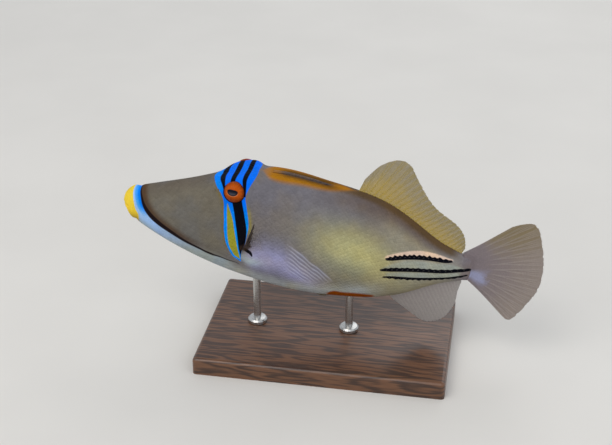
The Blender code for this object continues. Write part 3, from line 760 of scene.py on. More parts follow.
    def head_fields(self, s: Array, girth: Array, lip: Array, cheek: Array, along: Array) -> dict[str, Array]:
        """Markings ahead of the gill cover.

        Args:
            s: Distances from the snout.
            girth: Ways from the middle of the back.
            lip: Distances inside the lips.
            cheek: Offsets from the cheek line.
            along: Shares along it.

        Returns:
            Field name to values.
        """
        fan = self.eye_fan.inside(s, girth)
        wide = Curve(*zip(*self.cheek_width, strict=True))(along)
        jaw = -cheek
        under_line = smooth(jaw, -0.4, 0.6) * fall(along, 0.88, 1.0)
        fade = fall(along, 0.13, 0.25)
        first = self.black_bars[0].front
        ahead = Curve([p[1] for p in first], [p[0] for p in first])(girth) - s
        return {
            "lip": lip,
            # Painted shadow: the lower side of the lips darker olive.
            "lip_shade": smooth(girth, 15.0, 24.0) * fall(s, 9.0, 12.0),
            "jaw_band": under_line,
            "jaw_near": under_line * fall(along, 0.16, 0.66) * fall(jaw, 3.8, 10.5),
            "azure": under_line * fade * fall(jaw, 2.9, 4.0),
            "azure_deep": under_line * fade * fall(jaw, 1.2, 2.9),
            "blue_front": smooth(ahead, -1.4, 1.0) * fall(girth, 14.0, 20.0),
            "cheek_line": wide - np.abs(cheek),
            "cheek_fringe": smooth(cheek, -0.3, 0.2) * fall(cheek, 1.6, 5.2) * fall(along, 0.5, 0.8),
            "blue": fan,
            "blue_low": smooth(girth, 22.0, 40.0),
            "wedge": self.wedge.inside(s, girth),
            "fringe": bell(fan, -0.7, 0.9) * smooth(girth, 8.0, 20.0) * fall(girth, 50.0, 60.0) * (s < 70.0),
            "rear_fringe": bell(fan, -0.9, 1.2) * (s > 70.0) * smooth(girth, 24.0, 30.0) * fall(girth, 39.0, 45.0),
            "head": fall(s, 58.0, 74.0),
            "crown": fall(girth, 2.0, 12.0) * fall(s, 46.0, 54.0),
        }

    def body_fields(self, s: Array, girth: Array, low: Array) -> dict[str, Array]:
        """Markings behind the gill cover.

        Args:
            s: Distances from the snout.
            girth: Ways from the middle of the back.
            low: Ways from the belly line.

        Returns:
            Field name to values.
        """
        saddle = Curve(*zip(*self.saddle_edge, strict=True))(s) - girth
        saddle = np.minimum(saddle, np.minimum(s - 76.0, 127.0 - s))
        belly = girth - Curve(*zip(*self.belly_edge, strict=True))(s)
        belly = np.minimum(belly, np.minimum(s - self.belly_edge[0][0], self.belly_edge[-1][0] - s))
        flank = low - 0.52 * self.body.half_girth(s)
        centre = np.interp(s, (76.0, 94.0, 118.0), (55.0, 56.0, 66.0))
        crest, zone = self.folds(s, girth)
        return {
            "saddle": smooth(saddle, -2.2, 1.8) * (0.6 + 0.4 * smooth(s, 76.0, 83.0)),
            "saddle_dark": bell(girth, 2.2, 2.6) * smooth(s, 82.0, 92.0) * fall(s, 112.0, 124.0),
            "back_band": fall(girth, 2.2, 6.0) * smooth(s, 106.0, 130.0) * fall(s, 184.0, 192.0),
            "glow": bell(s, 135.0, 24.0) * bell(girth, 35.0, 12.0),
            "olive": smooth(s, 96.0, 132.0) * smooth(girth, 12.0, 30.0),
            "tan": smooth(s, 138.0, 156.0) * smooth(girth, 4.0, 10.0) * fall(s, 180.0, 194.0),
            "lilac": bell(girth - centre, 0.0, 9.0) * smooth(s, 72.0, 80.0) * fall(s, 104.0, 128.0),
            "mauve": smooth(s, 98.0, 142.0) * fall(girth - 0.12 * (150.0 - s), 5.0, 15.0) * fall(s, 176.0, 190.0),
            # Paler lower side: the belly's own pale colour, made brighter as painted fill light against the shade
            # underneath.
            "under": fall(low, 12.0, 23.0) * fall(s, 138.0, 156.0),
            "belly_mark": belly,
            "tail_end": smooth(s, 186.0, 199.0),
            "tail_pale": smooth(s, 150.0, 158.0) * fall(s, 188.0, 196.0) * bell(flank, 0.0, 9.0),
            "fold": crest,
            "fold_gap": zone - crest,
            # Painted highlight: a pale bluish spot below the root of the pectoral fin.
            "cold": bell(np.hypot((s - 77.5) / 1.9, girth - 59.2), 0.0, 3.2),
        }


@dataclass(frozen=True)
class Layer:
    """One colour laid over the skin where a field says, or only inside another field."""

    field_name: str
    paint: Paint
    strength: float = 1.0
    edge: float | None = None
    within: str | None = None


class NodeBook:
    """Builds the nodes of one material."""

    def __init__(self, name: str) -> None:
        """Start a material.

        Args:
            name: Its name.
        """
        self.material = bpy.data.materials.new(name)
        self.material.use_nodes = True
        self.tree = self.material.node_tree
        self.shader = self.tree.nodes["Principled BSDF"]

    def add(self, kind: str, inputs: dict[int | str, object] | None = None, **settings: object) -> bpy.types.Node:
        """Add a node.

        Args:
            kind: Its type.
            inputs: Socket to a value or to another node's output.
            settings: Its own options.

        Returns:
            The node.
        """
        node = self.tree.nodes.new(kind)
        for key, value in settings.items():
            setattr(node, key, value)
        for key, value in (inputs or {}).items():
            if isinstance(value, Socket):
                self.tree.links.new(value, node.inputs[key])
            else:
                node.inputs[key].default_value = value
        return node

    def set(self, **sockets: object) -> None:
        """Set or link the shader's sockets, named with underscores for spaces."""
        for name, value in sockets.items():
            socket = self.shader.inputs[name.replace("_", " ")]
            if isinstance(value, Socket):
                self.tree.links.new(value, socket)
            else:
                socket.default_value = value

    def field(self, name: str) -> Socket:
        """A field stored on the mesh."""
        return self.add("ShaderNodeAttribute", attribute_name=name).outputs["Fac"]

    def sum(self, operation: str, first: object, second: object = 0.0) -> Socket:
        """Arithmetic on two values."""
        return self.add("ShaderNodeMath", {0: first, 1: second}, operation=operation).outputs[0]

    def times(self, first: object, second: object) -> Socket:
        """The product of two values."""
        return self.sum("MULTIPLY", first, second)

    def ramp(self, value: object, low: float, high: float, start: float = 0.0, end: float = 1.0) -> Socket:
        """A value's soft rise from start to end between low and high."""
        inputs = {"Value": value, "From Min": low, "From Max": high, "To Min": start, "To Max": end}
        return self.add("ShaderNodeMapRange", inputs, interpolation_type="SMOOTHSTEP").outputs[0]

    def mix(self, share: object, first: object, second: object, blend: str = "MIX") -> Socket:
        """Two colours mixed."""
        inputs = {0: share, 6: first, 7: second}
        return self.add("ShaderNodeMix", inputs, data_type="RGBA", blend_type=blend).outputs[2]

    def shaded(self, colour: object, light: object) -> Socket:
        """A colour made darker or lighter by a factor."""
        grey = self.add("ShaderNodeCombineColor", {0: light, 1: light, 2: light}).outputs[0]
        return self.mix(1.0, colour, grey, "MULTIPLY")

    def noise(self, scale: float, detail: float = 2.0, rough: float = 0.5, place: object = None) -> Socket:
        """Noise in the model's own space.

        Args:
            scale: Features per metre.
            detail: How many finer layers.
            rough: Strength of the finer layers.
            place: Coordinates to read instead of the model's.

        Returns:
            Values round 0.5.
        """
        if place is None:
            place = self.add("ShaderNodeTexCoord").outputs["Object"]
        inputs = {"Vector": place, "Scale": scale, "Detail": detail, "Roughness": rough}
        return self.add("ShaderNodeTexNoise", inputs).outputs["Fac"]

    def bump(self, height: object, depth: float, strength: float = 1.0) -> Socket:
        """A bump of a depth in metres."""
        inputs = {"Height": height, "Distance": depth, "Strength": strength}
        return self.add("ShaderNodeBump", inputs).outputs[0]


@dataclass(frozen=True)
class SkinFinish:
    """Satin fish skin with its painted markings."""

    ground: Paint = (118, 114, 116)
    layers: tuple[Layer, ...] = (
        Layer("head", (112, 108, 98), 0.9),
        Layer("crown", (96, 88, 82), 0.6),
        Layer("olive", (138, 134, 112), 0.75),
        Layer("tan", (156, 148, 122), 0.75),
        Layer("mauve", (102, 87, 78), 0.8),
        Layer("glow", (188, 184, 132), 0.95),
        Layer("lilac", (170, 168, 204), 0.85),
        # The belly's pale colour, brightened as painted fill light.
        Layer("under", (192, 197, 192), 0.7),
        Layer("tail_pale", (164, 158, 142), 0.6),
        Layer("tail_end", (126, 116, 118), 0.95),
        Layer("back_band", (92, 72, 46), 0.9),
        Layer("saddle", (174, 114, 2), 0.97),
        Layer("saddle_dark", (80, 56, 22), 0.85),
        # Painted highlight below the pectoral fin's root.
        Layer("cold", (182, 196, 202), 0.8),
        Layer("fold_gap", (110, 107, 128), 0.5),
        Layer("fold", (200, 202, 220), 0.6),
        Layer("jaw_band", (160, 172, 174)),
        Layer("jaw_near", (160, 200, 255)),
        Layer("azure", (72, 170, 252)),
        Layer("azure_deep", (0, 130, 255)),
        Layer("cheek_fringe", (78, 54, 34), 0.85),
        Layer("cheek_line", (30, 20, 22), 1.0, 0.3),
        Layer("lip", (246, 214, 66), 1.0, 0.2),
        # Painted shadow on the lower side of the lips.
        Layer("lip_shade", (128, 108, 40), 0.8),
        Layer("fringe", (120, 106, 40), 0.5),
        Layer("rear_fringe", (150, 140, 60), 0.75),
        Layer("blue", (0, 114, 255), 1.0, 0.22),
        Layer("blue_front", (0, 136, 255), within="blue"),
        Layer("blue_low", (0, 146, 255), within="blue"),
        Layer("wedge", (156, 154, 50), 1.0, 0.25),
        Layer("row_pale", (162, 167, 154), 0.9, 0.8),
        Layer("row_warm", (238, 208, 182), 0.95, 0.4),
        Layer("belly_mark", (146, 70, 6), 1.0, 1.4),
        Layer("black", (8, 9, 18), 1.0, 0.22),
        Layer("fin_foot", (50, 38, 30), 0.9, 0.7),
    )
    crisp: float = 0.22
    # Tints of the broad soft clouds.
    warm: Paint = (255, 250, 240)
    cool: Paint = (245, 247, 255)

    def material(self) -> bpy.types.Material:
        """Build the material."""
        book = NodeBook("fish_skin")
        colour: object = linear(self.ground)
        for layer in self.layers:
            share = book.field(layer.field_name)
            if layer.edge is not None:
                share = book.ramp(share, -layer.edge, layer.edge)
            if layer.within is not None:
                share = book.times(share, book.ramp(book.field(layer.within), -self.crisp, self.crisp))
            share = book.times(share, layer.strength)
            colour = book.mix(share, colour, linear(layer.paint))
        cloud = book.ramp(book.noise(170.0, 3.0, 0.6), 0.25, 0.75, 0.93, 1.06)
        speck = book.ramp(book.noise(1500.0, 2.0, 0.6), 0.2, 0.8, 0.93, 1.07)
        tone = book.ramp(book.field("tone"), 0.0, 1.0, 0.95, 1.05)
        # Painted shade: the plates darker down at their sunken rims, in the crevices between them.
        gap = book.ramp(book.field("scale_rim"), 0.0, 1.0, 1.0, 0.94)
        light = book.times(book.times(cloud, speck), book.times(tone, gap))
        colour = book.shaded(colour, light)
        tint = book.mix(book.ramp(book.noise(55.0, 2.0), 0.35, 0.65), linear(self.warm), linear(self.cool))
        colour = book.mix(1.0, colour, tint, "MULTIPLY")
        rough = book.ramp(book.noise(420.0, 3.0), 0.3, 0.7, 0.50, 0.64)
        grain = book.bump(book.noise(2600.0, 3.0, 0.6), 0.00006, 0.5)
        book.set(Base_Color=colour, Roughness=rough, Normal=grain, Specular_IOR_Level=0.03)
        return book.material


@dataclass(frozen=True)
class EyeFinish:
    """Orange iris and dark oval pupil under a wet clear layer."""

    iris: Paint = (178, 77, 2)
    rim: Paint = (120, 46, 2)
    low: Paint = (120, 48, 6)
    glint: Paint = (222, 118, 16)
    pupil: Paint = (10, 14, 26)
    # Painted reflection: lighter grey in the lower inside of the pupil.
    pupil_reflection: Paint = (66, 66, 74)
    pupil_edge: Paint = (206, 150, 112)

    def material(self) -> bpy.types.Material:
        """Build the material."""
        book = NodeBook("eye_orange")
        streak = book.add("ShaderNodeAttribute", attribute_name="streak").outputs["Vector"]
        fibres = book.noise(2.6, 4.0, 0.65, streak)
        reach = book.field("eye_reach")
        colour = book.mix(book.ramp(reach, 0.62, 1.0), linear(self.iris), linear(self.rim))
        pupil = book.field("pupil")
        level = book.field("pupil_level")
        colour = book.mix(book.ramp(level, -1.6, -4.6, 0.0, 0.8), colour, linear(self.low))
        colour = book.mix(book.ramp(fibres, 0.5, 0.8, 0.0, 0.5), colour, linear(self.glint))
        colour = book.mix(book.ramp(fibres, 0.5, 0.2, 0.0, 0.5), colour, linear(self.rim))
        edge = book.times(book.ramp(pupil, -0.6, -0.1, 0.0, 0.45), book.ramp(level, 0.2, -1.2))
        colour = book.mix(edge, colour, linear(self.pupil_edge))
        # Painted reflection in the lower part of the pupil.
        reflection_share = book.times(book.ramp(level, 0.5, -1.4), book.ramp(pupil, 0.2, 0.6))
        dark = book.mix(reflection_share, linear(self.pupil), linear(self.pupil_reflection))
        colour = book.mix(book.ramp(pupil, -0.16, 0.08), colour, dark)
        height = book.times(fibres, book.ramp(pupil, 0.0, -0.4))
        book.set(Base_Color=colour, Roughness=0.5, Normal=book.bump(height, 0.00012, 0.6), Specular_IOR_Level=0.05)
        book.set(Coat_Weight=0.15, Coat_Roughness=0.06, Coat_IOR=1.3)
        return book.material


@dataclass(frozen=True)
class FinFinish:
    """A rayed fin: thin see-through web between firmer rays."""

    name: str
    root: Paint
    tip: Paint
    ray: Paint
    web_cover: float
    ray_cover: float
    joints: float
    ray_share: float = 0.7
    lead: Paint | None = None
    upper: Paint | None = None
    # Colour of a painted violet sheen at the foot of the lower half.
    sheen_patch: Paint | None = None
    glow: float = 0.3

    def material(self) -> bpy.types.Material:
        """Build the material."""
        book = NodeBook(self.name)
        reach, ray = book.field("reach"), book.field("ray")
        cloud = book.noise(160.0, 3.0, 0.6)
        level = book.sum("ADD", reach, book.ramp(cloud, 0.2, 0.8, -0.12, 0.12))
        colour = book.mix(book.ramp(level, 0.1, 0.95), linear(self.root), linear(self.tip))
        if self.upper is not None:
            high = book.times(book.ramp(book.field("share"), 0.45, 0.1), book.ramp(level, 0.2, 0.7))
            colour = book.mix(high, colour, linear(self.upper))
        # Painted sheen near the foot of the lower half.
        if self.sheen_patch is not None:
            across = book.sum("SUBTRACT", book.field("share"), 0.72)
            spot = book.ramp(book.sum("ABSOLUTE", across), 0.24, 0.06)
            spot = book.times(spot, book.ramp(level, 0.36, 0.1))
            colour = book.mix(spot, colour, linear(self.sheen_patch))
        colour = book.mix(book.times(ray, self.ray_share), colour, linear(self.ray))
        cover = book.ramp(ray, 0.05, 0.7, self.web_cover, self.ray_cover)
        cover = book.sum("MAXIMUM", cover, book.ramp(reach, 0.16, 0.0))
        if self.lead is not None:
            lead = book.field("lead")
            colour = book.mix(lead, colour, linear(self.lead))
            cover = book.sum("MAXIMUM", cover, lead)
        joint = book.sum("SINE", book.times(reach, self.joints * 2.0 * math.pi))
        joint = book.times(joint, ray)
        dark = book.ramp(joint, 0.3, 1.0, 1.0, 0.88)
        speck = book.times(dark, book.ramp(book.noise(1400.0, 2.0), 0.2, 0.8, 0.9, 1.08))
        colour = book.shaded(colour, speck)
        normal = book.bump(book.sum("ADD", joint, book.noise(900.0, 3.0)), 0.00005, 0.6)
        book.set(Base_Color=colour, Roughness=0.42, Normal=normal, Specular_IOR_Level=0.35, Alpha=cover)
        output = book.tree.nodes["Material Output"]
        through = book.add("ShaderNodeBsdfTranslucent", {"Color": colour, "Normal": normal})
        clear = book.add("ShaderNodeBsdfTransparent")
        veil = book.add("ShaderNodeMixShader", {0: cover, 1: clear.outputs[0], 2: through.outputs[0]})
        both = book.add("ShaderNodeMixShader", {0: self.glow, 1: book.shader.outputs[0], 2: veil.outputs[0]})
        book.tree.links.new(both.outputs[0], output.inputs["Surface"])
        return book.material


@dataclass(frozen=True)
class HornFinish:
    """Matt horn or rough skin in one pair of colours."""

    name: str
    dark: Paint
    light: Paint
    roughness: float = 0.5
    grain: float = 900.0
    # Colour where the field "front" is 1.
    front: Paint | None = None

    def material(self) -> bpy.types.Material:
        """Build the material."""
        book = NodeBook(self.name)
        cloud = book.noise(self.grain, 4.0, 0.6)
        colour = book.mix(book.ramp(cloud, 0.35, 0.7), linear(self.dark), linear(self.light))
        if self.front is not None:
            colour = book.mix(book.field("front"), colour, linear(self.front))
        rough = book.ramp(cloud, 0.2, 0.8, self.roughness - 0.08, self.roughness + 0.1)
        book.set(Base_Color=colour, Roughness=rough, Normal=book.bump(cloud, 0.00012, 0.6))
        return book.material


@dataclass(frozen=True)
class WoodFinish:
    """Dark oiled hardwood with its grain along the base."""

    dark: Paint = (58, 36, 24)
    light: Paint = (112, 74, 48)

    def material(self) -> bpy.types.Material:
        """Build the material."""
        book = NodeBook("stand_wood")
        place = book.add("ShaderNodeTexCoord").outputs["Object"]
        along = book.add("ShaderNodeMapping", {"Vector": place, "Scale": (1.0, 9.0, 9.0)}).outputs[0]
        warp = book.noise(14.0, 3.0, 0.5, along)
        band = book.sum("SINE", book.times(warp, 46.0))
        pores = book.add("ShaderNodeMapping", {"Vector": place, "Scale": (1.0, 26.0, 26.0)}).outputs[0]
        pore = book.noise(60.0, 4.0, 0.7, pores)
        tone = book.sum("ADD", book.times(band, 0.3), pore)
        colour = book.mix(book.ramp(tone, 0.1, 0.95), linear(self.dark), linear(self.light))
        rough = book.ramp(pore, 0.3, 0.7, 0.5, 0.32)
        book.set(Base_Color=colour, Roughness=rough, Normal=book.bump(pore, 0.0001, 0.4))
        book.set(Coat_Weight=0.25, Coat_Roughness=0.2)
        return book.material


@dataclass(frozen=True)
class SteelFinish:
    """Brushed stainless steel."""

    paint: Paint = (196, 196, 194)

    def material(self) -> bpy.types.Material:
        """Build the material."""
        book = NodeBook("stand_steel")
        place = book.add("ShaderNodeTexCoord").outputs["Object"]
        round_it = book.add("ShaderNodeMapping", {"Vector": place, "Scale": (1.0, 1.0, 30.0)}).outputs[0]
        brush = book.noise(320.0, 3.0, 0.6, round_it)
        book.set(Base_Color=linear(self.paint), Metallic=1.0, Roughness=book.ramp(brush, 0.3, 0.7, 0.22, 0.4))
        book.set(Normal=book.bump(brush, 0.00003, 0.5))
        return book.material


@dataclass
class Form:
    """A mesh in the fish's millimetres."""

    points: Array
    faces: list[list[int]]
    fields: dict[str, Array] = field(default_factory=dict)
    unwrap: Array | None = None

    def piece(
        self,
        name: str,
        frame: FishFrame,
        look: bpy.types.Material,
        slot: Slot,
        replaces: Sequence[str] = (),
    ) -> bpy.types.Object:
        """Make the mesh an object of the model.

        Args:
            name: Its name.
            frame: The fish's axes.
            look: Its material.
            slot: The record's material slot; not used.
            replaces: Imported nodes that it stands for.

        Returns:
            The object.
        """
        mesh = bpy.data.meshes.new(name)
        mesh.from_pydata(frame.world(self.points).tolist(), [], self.faces)
        if self.unwrap is not None:
            layer = mesh.uv_layers.new(name="OFBake")
            layer.data.foreach_set("uv", np.asarray(self.unwrap, np.float32).ravel())
        for field_name, values in self.fields.items():
            kind = "FLOAT_VECTOR" if values.ndim == 2 else "FLOAT"
            data = mesh.attributes.new(field_name, kind, "POINT").data
            data.foreach_set("vector" if values.ndim == 2 else "value", np.asarray(values, np.float32).ravel())
        bm = bmesh.new()
        bm.from_mesh(mesh)
        bmesh.ops.recalc_face_normals(bm, faces=bm.faces)
        bm.to_mesh(mesh)
        bm.free()
        mesh.shade_smooth()
        mesh.materials.append(look)
        made = bpy.data.objects.new(name, mesh)
        bpy.context.scene.collection.objects.link(made)
        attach(made, "root")
        if replaces:
            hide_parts(*replaces)
        LOG.info("%s: %d faces, stands for %s", name, len(mesh.polygons), ", ".join(replaces) or "nothing")
        return made

    def joined(self, other: Form) -> Form:
        """This form and another as one.

        Args:
            other: The form that is added, with the same fields.

        Returns:
            The new form.
        """
        shift = len(self.points)
        fields = {k: np.concatenate((v, other.fields[k])) for k, v in self.fields.items()}
        faces = self.faces + [[i + shift for i in face] for face in other.faces]
        unwrap = None if self.unwrap is None else np.concatenate((self.unwrap, other.unwrap))
        return Form(np.concatenate((self.points, other.points)), faces, fields, unwrap)


def tube(rings: Array) -> Form:
    """A closed form through rings of points.

    Args:
        rings: Points as (ring, corner, 3).

    Returns:
        The form, both ends closed.
    """
    count, corners = rings.shape[:2]
    faces = []
    for i in range(count - 1):
        for j in range(corners):
            k = (j + 1) % corners
            faces.append([i * corners + j, i * corners + k, (i + 1) * corners + k, (i + 1) * corners + j])
    faces.append(list(range(corners)))
    faces.append([(count - 1) * corners + j for j in range(corners)])
    return Form(rings.reshape(-1, 3), faces)


@dataclass
class Skin:
    """The whole skin in one piece, from the lips to the root of the tail fin."""

    body: BodyShape
    markings: Markings
    sockets: Sequence[EyeSocket]
    columns: int = 288
    nose_rings: int = 34
    head_step: float = 0.44
    trunk_step: float = 0.75
    tail_step: float = 0.62
    head_end: float = 77.0
    trunk_end: float = 142.0
    # Mouth: level, depth, half height, and where its corners lie.
    mouth: tuple[float, ...] = (-1.6, 0.8, 0.36, 2.6, 5.4)
    lip_roll: float = 0.16
    nostrils: tuple[Place, ...] = ((55.4, 23.4), (53.2, 21.6))
    nostril_pit: float = 0.8
    nostril_rim: float = 0.2
    # Gill slit: place, depth, half width, lower and upper end.
    gill_slit: tuple[float, ...] = (73.1, 1.3, 0.5, -13.0, -1.5)
    # Groove of the first dorsal fin: depth, half width, start and end.
    groove: tuple[float, ...] = (1.7, 1.55, 79.5, 117.0)
    fin_root_rise: float = 0.9
    fin_root_half: float = 1.7
    fold_rise: float = 0.22
    # Where the skin starts to close over the foot of the tail fin, and over what length.
    tail_close: tuple[float, float] = (192.0, 7.2)
    # The mesh is finer this near to an eye or a nostril.
    eye_fine: float = 9.6
    nostril_fine: float = 2.4

    def relief(self, s: Array, girth: Array, points: Array) -> Array:
        """How far the skin stands off the bare form.

        Args:
            s: Distances from the snout.
            girth: Ways from the middle of the back.
            points: The bare points.

        Returns:
            Millimetres, positive outward.
        """
        level, depth, half, corner, end = self.mouth
        front = fall(s, corner, end)
        z = points[:, 2]
        rise = -depth * bell(z, level, half) * front
        for lip in (-1.5, 1.5):
            rise += self.lip_roll * bell(z, level + lip, 0.9) * front
        rise += 0.03 * np.sin(z * 5.2 + 0.8 * np.sin(s * 3.0)) * fall(s, 6.0, 8.5)
        for place in self.nostrils:
            for side in Side:
                spot = self.body.bare(place[0], self.body.angle_at_level(*place, side))
                far = np.linalg.norm(points - spot, axis=1)
                rise += self.nostril_rim * bell(far, 1.05, 0.35) - self.nostril_pit * bell(far, 0.0, 0.55)
        place, depth, half, bottom, top = self.gill_slit
        window = smooth(z, bottom, bottom + 3.0) * fall(z, top - 3.0, top)
        rise -= depth * bell(s, place, half) * window
        depth, half, start, end = self.groove
        window = smooth(s, start, start + 5.0) * fall(s, end - 10.0, end)
        rise -= depth * window * np.exp(-((girth / half) ** 4))
        low = self.body.half_girth(s) - girth
        dorsal = smooth(s, 126.0, 132.0) * fall(s, 184.0, 192.0)
        anal = smooth(s, 152.0, 159.0) * fall(s, 186.0, 194.0)
        above = bell(girth, 0.0, self.fin_root_half) * dorsal
        below = bell(low, 0.0, self.fin_root_half) * anal
        rise += self.fin_root_rise * (above + below)
        crest, zone = self.markings.folds(s, girth)
        rise += self.fold_rise * (crest - 0.3 * zone)
        return rise

    def place(self, s: Array, share: Array, lift: Array | float = 0.0) -> Array:
        """Points of the finished skin.

        Args:
            s: Distances from the snout.
            share: Signed shares of the half girth.
            lift: Height over the skin.

        Returns:
            The points.
        """
        bare, out = self.body.surface(s, self.body.angle(s, share))
        girth = np.abs(share) * self.body.half_girth(s)
        points = bare + out * (self.relief(s, girth, bare) + lift)[:, None]
        start, length = self.tail_close
        close = np.clip((s - start) / length, 0.0, 0.97)
        points[:, 1] *= np.sqrt(1.0 - close**2)
        for socket in self.sockets:
            points = socket.shape(points)
        return points

    def unwrap(self, s: Array, share: Array) -> Array:
        """The skin laid flat: s across, and the way round up and down."""
        girth = share * self.body.half_girth(s)
        return np.stack((0.01 + 0.98 * s / self.body.length, 0.5 + 0.49 * girth / self.body.half.max()), -1)

    def all_fields(self, s: Array, share: Array) -> dict[str, Array]:
        """The markings, the painted shade rings round the eyes, and the fields that only scales fill."""
        made = self.markings.fields(s, np.abs(share) * self.body.half_girth(s))
        points = self.body.bare(s, self.body.angle(s, share))
        for socket in self.sockets:
            # Painted shade: each socket's dark ring joins the black field.
            made["black"] = np.maximum(made["black"], socket.ring(points))
        made["tone"] = np.full(s.shape, 0.5)
        made["scale_rim"] = np.zeros(s.shape)
        return made

    def ring_places(self) -> Array:
        """Distances of the mesh's rings from the snout."""
        turn = np.linspace(0.0, math.pi / 2.0, self.nose_rings + 1)[1:-1]
        nose = self.body.nose_length * (1.0 - np.cos(turn))
        spans = (
            (self.body.nose_length, self.head_end, self.head_step),
            (self.head_end, self.trunk_end, self.trunk_step),
            (self.trunk_end, self.body.length, self.tail_step),
        )
        parts = [np.linspace(a, b, round((b - a) / step), endpoint=False) for a, b, step in spans]
        return np.concatenate((nose, *parts, [self.body.length]))

    def flat_mesh(self) -> tuple[Array, Array, list[list[int]], int]:
        """The mesh laid out over s and share, finer round eyes and nostrils and in the folds.

        Returns:
            Distances, shares, faces and the count of rings.
        """
        rings = self.ring_places()
        shares = np.linspace(-1.0, 1.0, self.columns + 1)
        width = len(shares)
        bm = bmesh.new()
        verts = [bm.verts.new((s, share, 0.0)) for s in rings for share in shares]
        for i in range(len(rings) - 1):
            for j in range(self.columns):
                a = i * width + j
                bm.faces.new((verts[a], verts[a + 1], verts[a + width + 1], verts[a + width]))
        grid = np.array([v.co for v in verts])
        points = self.body.bare(grid[:, 0], self.body.angle(grid[:, 0], grid[:, 1]))
        fine = np.min([socket.reach(points) for socket in self.sockets], axis=0) < self.eye_fine
        _, zone = self.markings.folds(grid[:, 0], np.abs(grid[:, 1]) * self.body.half_girth(grid[:, 0]))
        fine |= zone > 0.02
        for place in self.nostrils:
            for side in Side:
                spot = self.body.bare(place[0], self.body.angle_at_level(*place, side))
                fine |= np.linalg.norm(points - spot, axis=1) < self.nostril_fine
        bm.verts.index_update()
        edges = [e for e in bm.edges if fine[e.verts[0].index] and fine[e.verts[1].index]]
        bmesh.ops.subdivide_edges(bm, edges=edges, cuts=1, use_grid_fill=True)
        bm.verts.index_update()
        flat = np.array([v.co for v in bm.verts])
        faces = [[v.index for v in f.verts] for f in bm.faces]
        bm.free()
        return flat[:, 0], flat[:, 1], faces, len(rings)

    def form(self) -> Form:
        """The skin's mesh, welded along the belly and closed at both ends."""
        s, share, faces, rings = self.flat_mesh()
        width = self.columns + 1
        tip, end = len(s), len(s) + 1
        s, share = np.append(s, (0.0, self.body.length)), np.append(share, (0.0, 0.0))
        last = (rings - 1) * width
        for j in range(self.columns):
            faces.append([tip, j + 1, j])
            faces.append([end, last + j, last + j + 1])
        points = self.place(s, share)
        points[end] = points[last : last + width].mean(axis=0)
        corners = np.concatenate([np.array(face) for face in faces])
        weld = np.arange(len(s))
        weld[[i * width + self.columns for i in range(rings)]] = [i * width for i in range(rings)]
        keep = np.flatnonzero(weld == np.arange(len(s)))
        number = np.zeros(len(s), int)
        number[keep] = np.arange(len(keep))
        index = number[weld]
        fields = {k: v[keep] for k, v in self.all_fields(s, share).items()}
        faces = [[int(index[i]) for i in face] for face in faces]
        return Form(points[keep], faces, fields, self.unwrap(s, share)[corners])


